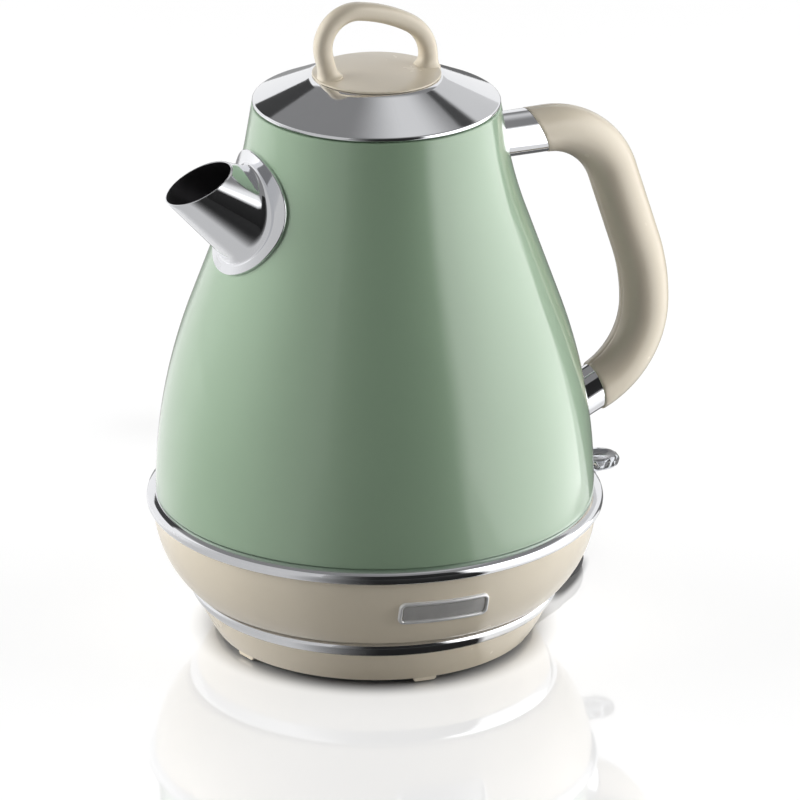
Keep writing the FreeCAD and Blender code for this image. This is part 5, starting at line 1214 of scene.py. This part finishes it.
class KETTLE_OT_lever(KettlePiece, bpy.types.Operator):
    """Builds the clear tongue of the switch lever, scooped above and hollow below its round end"""

    bl_idname = "kettle.lever"
    bl_label = "Switch Lever"

    def execute(self, context):
        points = self.tongue()
        skin = Skin()
        skin.grid(points)
        skin.grid(np.stack((points[:, 0], points[:, -1])))
        build_piece("lever_tongue", skin, ["clear_plastic"], "switch_lever",
                    ["switch_lever"], crease=20)
        return {"FINISHED"}

    def tongue(self):
        """Outlines with a round end, from the top's middle line round the edge to the bottom's.

        Above, z falls by a dish exp(-(x^2 + y^2) / size^2) and by ribs 1 - cos(2 pi x / pitch) e(x), where
        e(x) = exp(-((x + back) / reach)^4). Below, it rises by the same dish.
        """
        half = (LEVER_HIGH[1] - LEVER_LOW[1]) / 2
        middle = (LEVER_HIGH[2] + LEVER_LOW[2]) / 2
        thick = (LEVER_HIGH[2] - LEVER_LOW[2]) / 2
        bend = LEVER_HIGH[0] - half
        inset, lift = self.edge(half, thick)
        turn = np.linspace(-pi / 2, pi / 2, 9)
        columns = 60
        straight = np.broadcast_to(np.linspace(LEVER_LOW[0], bend, columns), (len(inset), columns))
        reach = half - inset
        x = np.concatenate((straight, bend + reach * np.cos(turn), straight[:, ::-1]), axis=1)
        flat = np.ones(columns)
        y = np.concatenate((-reach * flat, reach * np.sin(turn), reach * flat), axis=1)
        above = np.clip(lift / thick, 0, 1)
        below = np.clip(-lift / thick, 0, 1)
        dish_size, dish_depth, hollow_depth = 4.2 * MM, 1.5 * MM, 1.7 * MM
        rib_pitch, rib_depth, rib_back, rib_reach = 2.6 * MM, 0.3 * MM, 9 * MM, 4 * MM
        along = x - bend
        dish = np.exp(-(along / dish_size) ** 2 - (y / dish_size) ** 2)
        ribs = np.cos(along * 2 * pi / rib_pitch) * np.exp(-((along + rib_back) / rib_reach) ** 4)
        z = middle + lift - (dish_depth * dish + rib_depth * (1 - ribs)) * above + hollow_depth * dish * below
        return np.stack((x, y, z), axis=2)

    def edge(self, half, thick):
        """Inset and lift from the top's middle line, round the edge's half circle, to the bottom's."""
        level = np.linspace(half, thick, 12)[:-1]
        turn = np.linspace(pi / 2, -pi / 2, 13)
        inset = np.concatenate((level, thick * (1 - np.cos(turn)), level[::-1]))
        flat = np.full(len(level), thick)
        lift = np.concatenate((flat, thick * np.sin(turn), -flat))
        return inset[:, None], lift[:, None]


class KETTLE_OT_cord(KettlePiece, bpy.types.Operator):
    """Builds the mains cord, its strain relief, its tie and its plug"""

    bl_idname = "kettle.cord"
    bl_label = "Mains Cord"
    turn_points: bpy.props.IntProperty(name="Turn points", description="Curve points on a turn", default=16)

    def execute(self, context):
        sizes = context.scene.kettle_cord
        relief = self.relief(sizes)
        tie = self.tie(sizes)
        plug = self.plug(sizes)
        route = self.route(sizes)
        curve = bpy.data.curves.new("mains_cord", "CURVE")
        curve.dimensions = "3D"
        spline = curve.splines.new("NURBS")
        spline.points.add(len(route) - 1)
        spline.points.foreach_set("co", np.column_stack((route, np.ones(len(route)))).ravel())
        spline.order_u = 3
        spline.use_endpoint_u = True
        spline.resolution_u = 6
        curve.bevel_depth = sizes.diameter / 2
        curve.bevel_resolution = 6
        curve.use_fill_caps = True
        curve.materials.append(finish("cord_jacket"))
        cord = bpy.data.objects.new("mains_cord", curve)
        context.scene.collection.objects.link(cord)
        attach(cord, "power_base")
        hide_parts("cord_lead", "cord_coil", "cord_tail")
        return {"FINISHED"}

    def route(self, sizes):
        """Lead, coil and tail as control points of one curve."""
        count = round((2 * sizes.layer_sweep + pi) / (2 * pi) * self.turn_points)
        turns = np.linspace(0, 2 * sizes.layer_sweep + pi, count)
        coil = self.coil(sizes, turns)
        first = coil[0] - (0, sizes.diameter, 0)
        way = coil[-1] - coil[-2]
        way[2] = 0
        way /= np.linalg.norm(way)
        after = coil[-1] + np.outer((sizes.diameter, sizes.diameter + sizes.tail_start_run), way)
        lead = np.array(LEAD_ROUTE) * MM
        tail = np.array(TAIL_ROUTE) * MM
        return np.concatenate((lead, [first], coil, after, tail))

    def coil(self, sizes, turns):
        """The lower layer spirals in, climbs in a half turn eased by a sine, and the upper spirals out."""
        sweep = sizes.layer_sweep
        climb = np.clip((turns - sweep) / pi, 0, 1)
        wound_in = sizes.coil_outer - sizes.coil_pitch * np.minimum(turns, sweep) / (2 * pi)
        radius = wound_in + sizes.coil_pitch * np.maximum(turns - sweep - pi, 0) / (2 * pi)
        lift = sizes.coil_pitch * (climb - np.sin(2 * pi * climb) / (2 * pi))
        return np.column_stack((sizes.coil_x + radius * np.cos(turns), sizes.coil_y + radius * np.sin(turns),
                                sizes.coil_height + lift))

    def relief(self, sizes):
        """A tapered sleeve along the cord's first direction, with grooves round its outer half."""
        tip = np.array(LEAD_ROUTE[0]) * MM
        way = np.array((cos(sizes.heading), sin(sizes.heading), 0))
        along = np.linspace(0, 1, 140)[:, None]
        groove_depth, ease_depth, ease_run = 0.7 * MM, 0.5 * MM, 0.8 * MM
        radius = sizes.relief_root + (sizes.relief_tip - sizes.relief_root) * along
        radius = radius - groove_depth * self.grooves(along, count=7, first=0.42, last=0.95)
        end = np.minimum(along, 1 - along) * sizes.relief_length
        radius = radius - ease_depth * smooth(1 - end / ease_run)
        run = sizes.relief_length * way
        skin = Skin()
        skin.tube(self.sleeve(tip - run, run, along, radius))
        return build_piece("relief_sleeve", skin, ["black_rubber"], "power_base", ["strain_relief"])

    def grooves(self, along, count, first, last):
        """1 in the grooves of a sleeve between two shares of its length, 0 elsewhere, eased from a sine."""
        return smooth(np.sin(along * 2 * pi * count) * 2 - 0.4) * ((along > first) & (along < last))

    def sleeve(self, start, run, along, radius):
        """A level tube of changing radius: start + k run + radius (cos t side + sin t Z)."""
        turn = full_turn(40)
        side = np.array((-run[1], run[0], 0)) / np.linalg.norm(run)
        across = np.cos(turn)[:, None] * side + np.sin(turn)[:, None] * np.array((0, 0, 1))
        return (start + along * run)[:, None] + radius[:, :, None] * across

    def tie(self, sizes):
        """A flat band carried round the bundle of turns on a rounded outline."""
        turn = radians(170)
        way = np.array((cos(turn), sin(turn), 0))
        across = np.array((-way[1], way[0], 0))
        middle = np.array((sizes.coil_x, sizes.coil_y, 0))
        width, thick, corner, slack = 8 * MM, 0.9 * MM, 4 * MM, 0.4 * MM
        clear = sizes.diameter / 2 + slack + thick
        inner_end = sizes.coil_outer - sizes.coil_pitch * sizes.layer_sweep / (2 * pi) - clear
        outer_end = sizes.coil_outer - sizes.coil_pitch * turn / (2 * pi) + clear
        rows = []
        for gap, side in ((0, -1), (0, 1), (thick, 1), (thick, -1)):
            first, last = inner_end + gap, outer_end - gap
            low, high = TIE_LOW[2] + gap, TIE_HIGH[2] - gap
            bend = corner - gap
            corners = [(last, low, bend), (last, high, bend), (first, high, bend), (first, low, bend)]
            out, up = np.split(rounded(corners, 9), 2, axis=1)
            rows.append(middle + out * way + up * np.array((0, 0, 1)) + across * side * width / 2)
        skin = Skin()
        skin.grid(np.stack(rows), wrap_rows=True, wrap_columns=True)
        return build_piece("tie_band", skin, ["black_rubber"], "power_base", ["cord_tie"])

    def plug(self, sizes):
        """A round plug on its back, waisted for the fingers, with the sleeve of its cord at its side."""
        tail = np.array(TAIL_ROUTE) * MM
        end = tail[-1]
        way = end - tail[-2]
        way /= np.linalg.norm(way)
        radius, high = sizes.plug_radius, PLUG_HIGH[2]
        middle = np.array((end[0], end[1], 0)) + way * (sizes.plug_neck + radius)
        foot, waist, pole, edge = radius - 2.2 * MM, radius - 1.2 * MM, 0.02 * MM, 1.6 * MM
        waist_height, waist_bend = high * 0.42, 8 * MM
        head_height, head_bend = high * 0.6, 3 * MM
        profile = rounded([(radius, high, edge), (pole, high, 0), (pole, 0, 0), (foot, 0, edge),
                           (waist, waist_height, waist_bend), (radius, head_height, head_bend)], 7)
        skin = Skin()
        skin.turned(profile, 128, middle)
        along = np.linspace(0, 1, 60)[:, None]
        groove_depth = 0.6 * MM
        girth = sizes.relief_tip + (sizes.plug_neck_radius - sizes.relief_tip) * smooth(along * 1.2)
        girth = girth - groove_depth * self.grooves(along, count=6, first=0.06, last=0.55)
        skin.tube(self.sleeve(end, (sizes.plug_neck + radius / 2) * way, along, girth))
        return build_piece("plug_shell", skin, ["black_plastic"], "power_base", ["plug_body"])


class KETTLE_OT_kept_nodes(KettlePiece, bpy.types.Operator):
    """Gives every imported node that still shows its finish"""

    bl_idname = "kettle.kept_nodes"
    bl_label = "Inner Pieces"

    def execute(self, context):
        for finish_name, names in KEPT_NODES.items():
            for name in names:
                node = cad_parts[name]
                node.data.materials.clear()
                node.data.materials.append(finish(finish_name))
        return {"FINISHED"}


class KETTLE_OT_stage(KettlePiece, bpy.types.Operator):
    """Sets up the floor, the white surroundings, the lamps and the camera"""

    bl_idname = "kettle.stage"
    bl_label = "Stage"

    def execute(self, context):
        settings = context.scene.kettle_stage
        context.scene.view_settings.view_transform = "Standard"
        self.camera(context, settings)
        self.floor(context, settings)
        self.surroundings(context, settings)
        for lamp in LAMPS:
            self.lamp(context, settings, *lamp)
        top, step = 3 * MM, 0.4 * MM
        for number, card in enumerate(STANDING_CARDS):
            self.standing_card(context, settings, top - step * number, *card)
        for name, (x, y, z), (wide, deep), brightness, fade in OVERHEAD_CARDS:
            corners = [(x - wide, y + deep, z), (x + wide, y + deep, z),
                       (x + wide, y - deep, z), (x - wide, y - deep, z)]
            self.card(context, settings, name, corners, brightness, (fade, fade, fade, fade))
        return {"FINISHED"}

    def standing_card(self, context, settings, lift, name, first, second, near, height, brightness, fades):
        """A card that stands in the floor, and its floor card, which starts under or near the base.

        Each floor card lies a little lower than the one before, so that where two overlap the first is seen.
        """
        sunk, past = -0.25, 1.2
        hard, soft = 0.01, 0.1
        if height:
            corners = [(*first, sunk), (*second, sunk), (*second, height), (*first, height)]
            self.card(context, settings, name, corners, brightness, (*fades, hard, soft))
        foot = [np.array(end) for end in (first, second)]
        start = [end / np.linalg.norm(end) * near[0] + (near[1], 0) for end in foot]
        corners = [(*start[0], lift), (*start[1], lift), (*foot[1] * past, lift), (*foot[0] * past, lift)]
        self.card(context, settings, name + "_floor", corners, brightness, (*fades, hard, hard))

    def seen_from(self, settings, right, away, up):
        """A point given to the right of and away from the camera's line, in the model's frame."""
        turn = settings.view_turn
        return (right * cos(turn) + away * sin(turn), -right * sin(turn) + away * cos(turn), up)

    def facing(self, place, target=(0, 0, 0.12)):
        """A matrix at a place whose -Z looks at the target."""
        look = (Vector(target) - Vector(place)).to_track_quat("-Z", "Y")
        return Matrix.Translation(place) @ look.to_matrix().to_4x4()

    def camera(self, context, settings):
        """The camera, turned about the kettle and then by its own yaw, pitch and roll."""
        lens = bpy.data.cameras.new("camera")
        lens.lens = settings.lens
        lens.sensor_width = 36
        lens.clip_end = 100
        camera = bpy.data.objects.new("camera", lens)
        context.scene.collection.objects.link(camera)
        place = Matrix.Translation(self.seen_from(settings, 0, -settings.distance, settings.height))
        heading = Matrix.Rotation(-(settings.view_turn + settings.yaw), 4, "Z")
        tip = Matrix.Rotation(pi / 2 - settings.pitch, 4, "X")
        roll = Matrix.Rotation(settings.roll, 4, "Z")
        camera.matrix_world = place @ heading @ tip @ roll
        context.scene.camera = camera

    def lamp(self, context, settings, name, place, size, power):
        """An area lamp towards the kettle that reflections do not see."""
        light = bpy.data.lights.new(name, "AREA")
        light.shape = "RECTANGLE"
        light.size, light.size_y = size
        light.energy = power
        lamp = bpy.data.objects.new(name, light)
        lamp.matrix_world = self.facing(self.seen_from(settings, *place))
        lamp.visible_glossy = False
        context.scene.collection.objects.link(lamp)

    def card(self, context, settings, name, corners, brightness, fades):
        """A card that only reflections see, and only from its front, from its four corners."""
        material, tree, shader = new_material(name)
        cover = add_node(tree, "ShaderNodeAttribute", attribute_name="cover").outputs["Fac"]
        behind = add_node(tree, "ShaderNodeNewGeometry").outputs["Backfacing"]
        front = maths(tree, "SUBTRACT", cover, behind, use_clamp=True)
        fill(tree, shader, {"Base Color": BLACK, "Roughness": 1, "Emission Color": WHITE,
                            "Emission Strength": brightness, "Alpha": front})
        places = [self.seen_from(settings, *corner) for corner in corners]
        card = self.plane(context, name, places, material, fades)
        card.visible_camera = False
        card.visible_diffuse = False
        card.visible_shadow = False

    def plane(self, context, name, corners, material, fades=None, count=49):
        """A patch that blends its four corners, (1-u)(1-v) a + u(1-v) b + uv c + (1-u)v d.

        With fades, its attribute "cover" eases from 0 at each edge to 1 over the share that fades there.
        """
        share = np.linspace(0, 1, count)
        u, v = np.meshgrid(share, share, indexing="ij")
        weights = np.stack(((1 - u) * (1 - v), u * (1 - v), u * v, (1 - u) * v), axis=2)
        mesh = bpy.data.meshes.new(name)
        points = (weights @ np.array(corners)).reshape(-1, 3)
        mesh.from_pydata(points, [], grid_faces(count, count, False, False).reshape(-1, 4))
        if fades:
            cover = mesh.attributes.new("cover", "FLOAT", "POINT")
            inward = np.stack((u, 1 - u, v, 1 - v), axis=2)
            cover.data.foreach_set("value", smooth(inward / fades).prod(axis=2).ravel())
        mesh.materials.append(material)
        plane = bpy.data.objects.new(name, mesh)
        context.scene.collection.objects.link(plane)
        return plane

    def bright_rays(self, tree):
        """1 for what the camera, a reflection or a clear piece sees, 0 for diffuse light."""
        path = add_node(tree, "ShaderNodeLightPath").outputs
        seen = maths(tree, "MAXIMUM", path["Is Camera Ray"], path["Is Glossy Ray"])
        return maths(tree, "MAXIMUM", seen, path["Is Transmission Ray"])

    def lit(self, tree, place, dark, bright, level):
        """Floor glow that eases from 0 within one distance from the middle to a level beyond another: the
        dark middle is painted shadow.
        """
        away = add_node(tree, "ShaderNodeVectorMath", {0: place}, operation="LENGTH").outputs["Value"]
        spans = {"Value": away, "From Min": dark, "From Max": bright, "To Max": level}
        eased = add_node(tree, "ShaderNodeMapRange", spans, interpolation_type="SMOOTHSTEP")
        return eased.outputs["Result"]

    def floor(self, context, settings):
        """A pale glossy floor, lifted to white where it is seen, with painted shadow close to the base and
        beside the cord.
        """
        material, tree, shader = new_material("pale_floor")
        place = add_node(tree, "ShaderNodeTexCoord").outputs["Object"]
        shade = add_node(tree, "ShaderNodeMapping", {"Vector": place, **CORD_SHADE}, vector_type="TEXTURE")
        # The floor's glow, lowered round the base as painted shadow.
        lifted = self.lit(tree, place, settings.shade_inner, settings.shade_outer, settings.glow)
        # The glow lowered again beside the cord as painted shadow.
        cord_painted_shadow = self.lit(tree, shade.outputs["Vector"], dark=0.45, bright=1, level=1)
        mirrored = add_node(tree, "ShaderNodeFresnel", {"IOR": settings.floor_index}).outputs["Fac"]
        glow = maths(tree, "MULTIPLY", lifted, cord_painted_shadow)
        glow = maths(tree, "MULTIPLY", glow, maths(tree, "SUBTRACT", 1, mirrored))
        seen = maths(tree, "MULTIPLY", glow, self.bright_rays(tree))
        fill(tree, shader, {"Base Color": (0.5, 0.5, 0.5, 1), "Roughness": 0.05, "IOR": settings.floor_index,
                            "Emission Color": WHITE, "Emission Strength": seen})
        half = 6
        corners = [(-half, -half, 0), (half, -half, 0), (half, half, 0), (-half, half, 0)]
        self.plane(context, "floor", corners, material)

    def surroundings(self, context, settings):
        """White where it is seen or reflected, and dim as a source of light."""
        world = bpy.data.worlds.new("studio")
        context.scene.world = world
        world.use_nodes = True
        tree = world.node_tree
        rays = self.bright_rays(tree)
        level = add_node(tree, "ShaderNodeMapRange", {"Value": rays, "To Min": settings.dim, "To Max": 1.0})
        fill(tree, tree.nodes["Background"], {"Color": WHITE, "Strength": level.outputs["Result"]})


PIECES = (KETTLE_OT_stage, KETTLE_OT_cord, KETTLE_OT_pot_wall, KETTLE_OT_spout, KETTLE_OT_trim_rings,
          KETTLE_OT_skirt, KETTLE_OT_base_shell, KETTLE_OT_badge, KETTLE_OT_grip, KETTLE_OT_ferrules,
          KETTLE_OT_lid, KETTLE_OT_lid_grip, KETTLE_OT_lever, KETTLE_OT_kept_nodes)


class KETTLE_PT_pieces(bpy.types.Panel):
    """Lists the pieces in the sidebar"""

    bl_idname = "KETTLE_PT_pieces"
    bl_label = "Electric Kettle"
    bl_space_type = "VIEW_3D"
    bl_region_type = "UI"
    bl_category = "Kettle"

    def draw(self, context):
        for piece in PIECES:
            self.layout.operator(piece.bl_idname)


SETTINGS = {
    "kettle_pot": PotSizes,
    "kettle_spout": SpoutSizes,
    "kettle_handle": HandleSizes,
    "kettle_skirt": SkirtSizes,
    "kettle_base": BaseSizes,
    "kettle_lid": LidSizes,
    "kettle_cord": CordSizes,
    "kettle_colours": Colours,
    "kettle_stage": StageSettings,
}


def register():
    for name, group in SETTINGS.items():
        bpy.utils.register_class(group)
        setattr(bpy.types.Scene, name, bpy.props.PointerProperty(type=group))
    for piece in PIECES:
        bpy.utils.register_class(piece)
    bpy.utils.register_class(KETTLE_PT_pieces)


def unregister():
    bpy.utils.unregister_class(KETTLE_PT_pieces)
    for piece in reversed(PIECES):
        bpy.utils.unregister_class(piece)
    for name, group in reversed(SETTINGS.items()):
        delattr(bpy.types.Scene, name)
        bpy.utils.unregister_class(group)


def main():
    register()
    bpy.ops.kettle.stage()
    bpy.ops.kettle.cord()
    bpy.ops.kettle.pot_wall()
    bpy.ops.kettle.spout()
    bpy.ops.kettle.trim_rings()
    bpy.ops.kettle.skirt()
    bpy.ops.kettle.base_shell()
    bpy.ops.kettle.badge()
    bpy.ops.kettle.grip()
    bpy.ops.kettle.ferrules()
    bpy.ops.kettle.lid()
    bpy.ops.kettle.lid_grip()
    bpy.ops.kettle.lever()
    bpy.ops.kettle.kept_nodes()


if __name__ == "__main__":
    main()
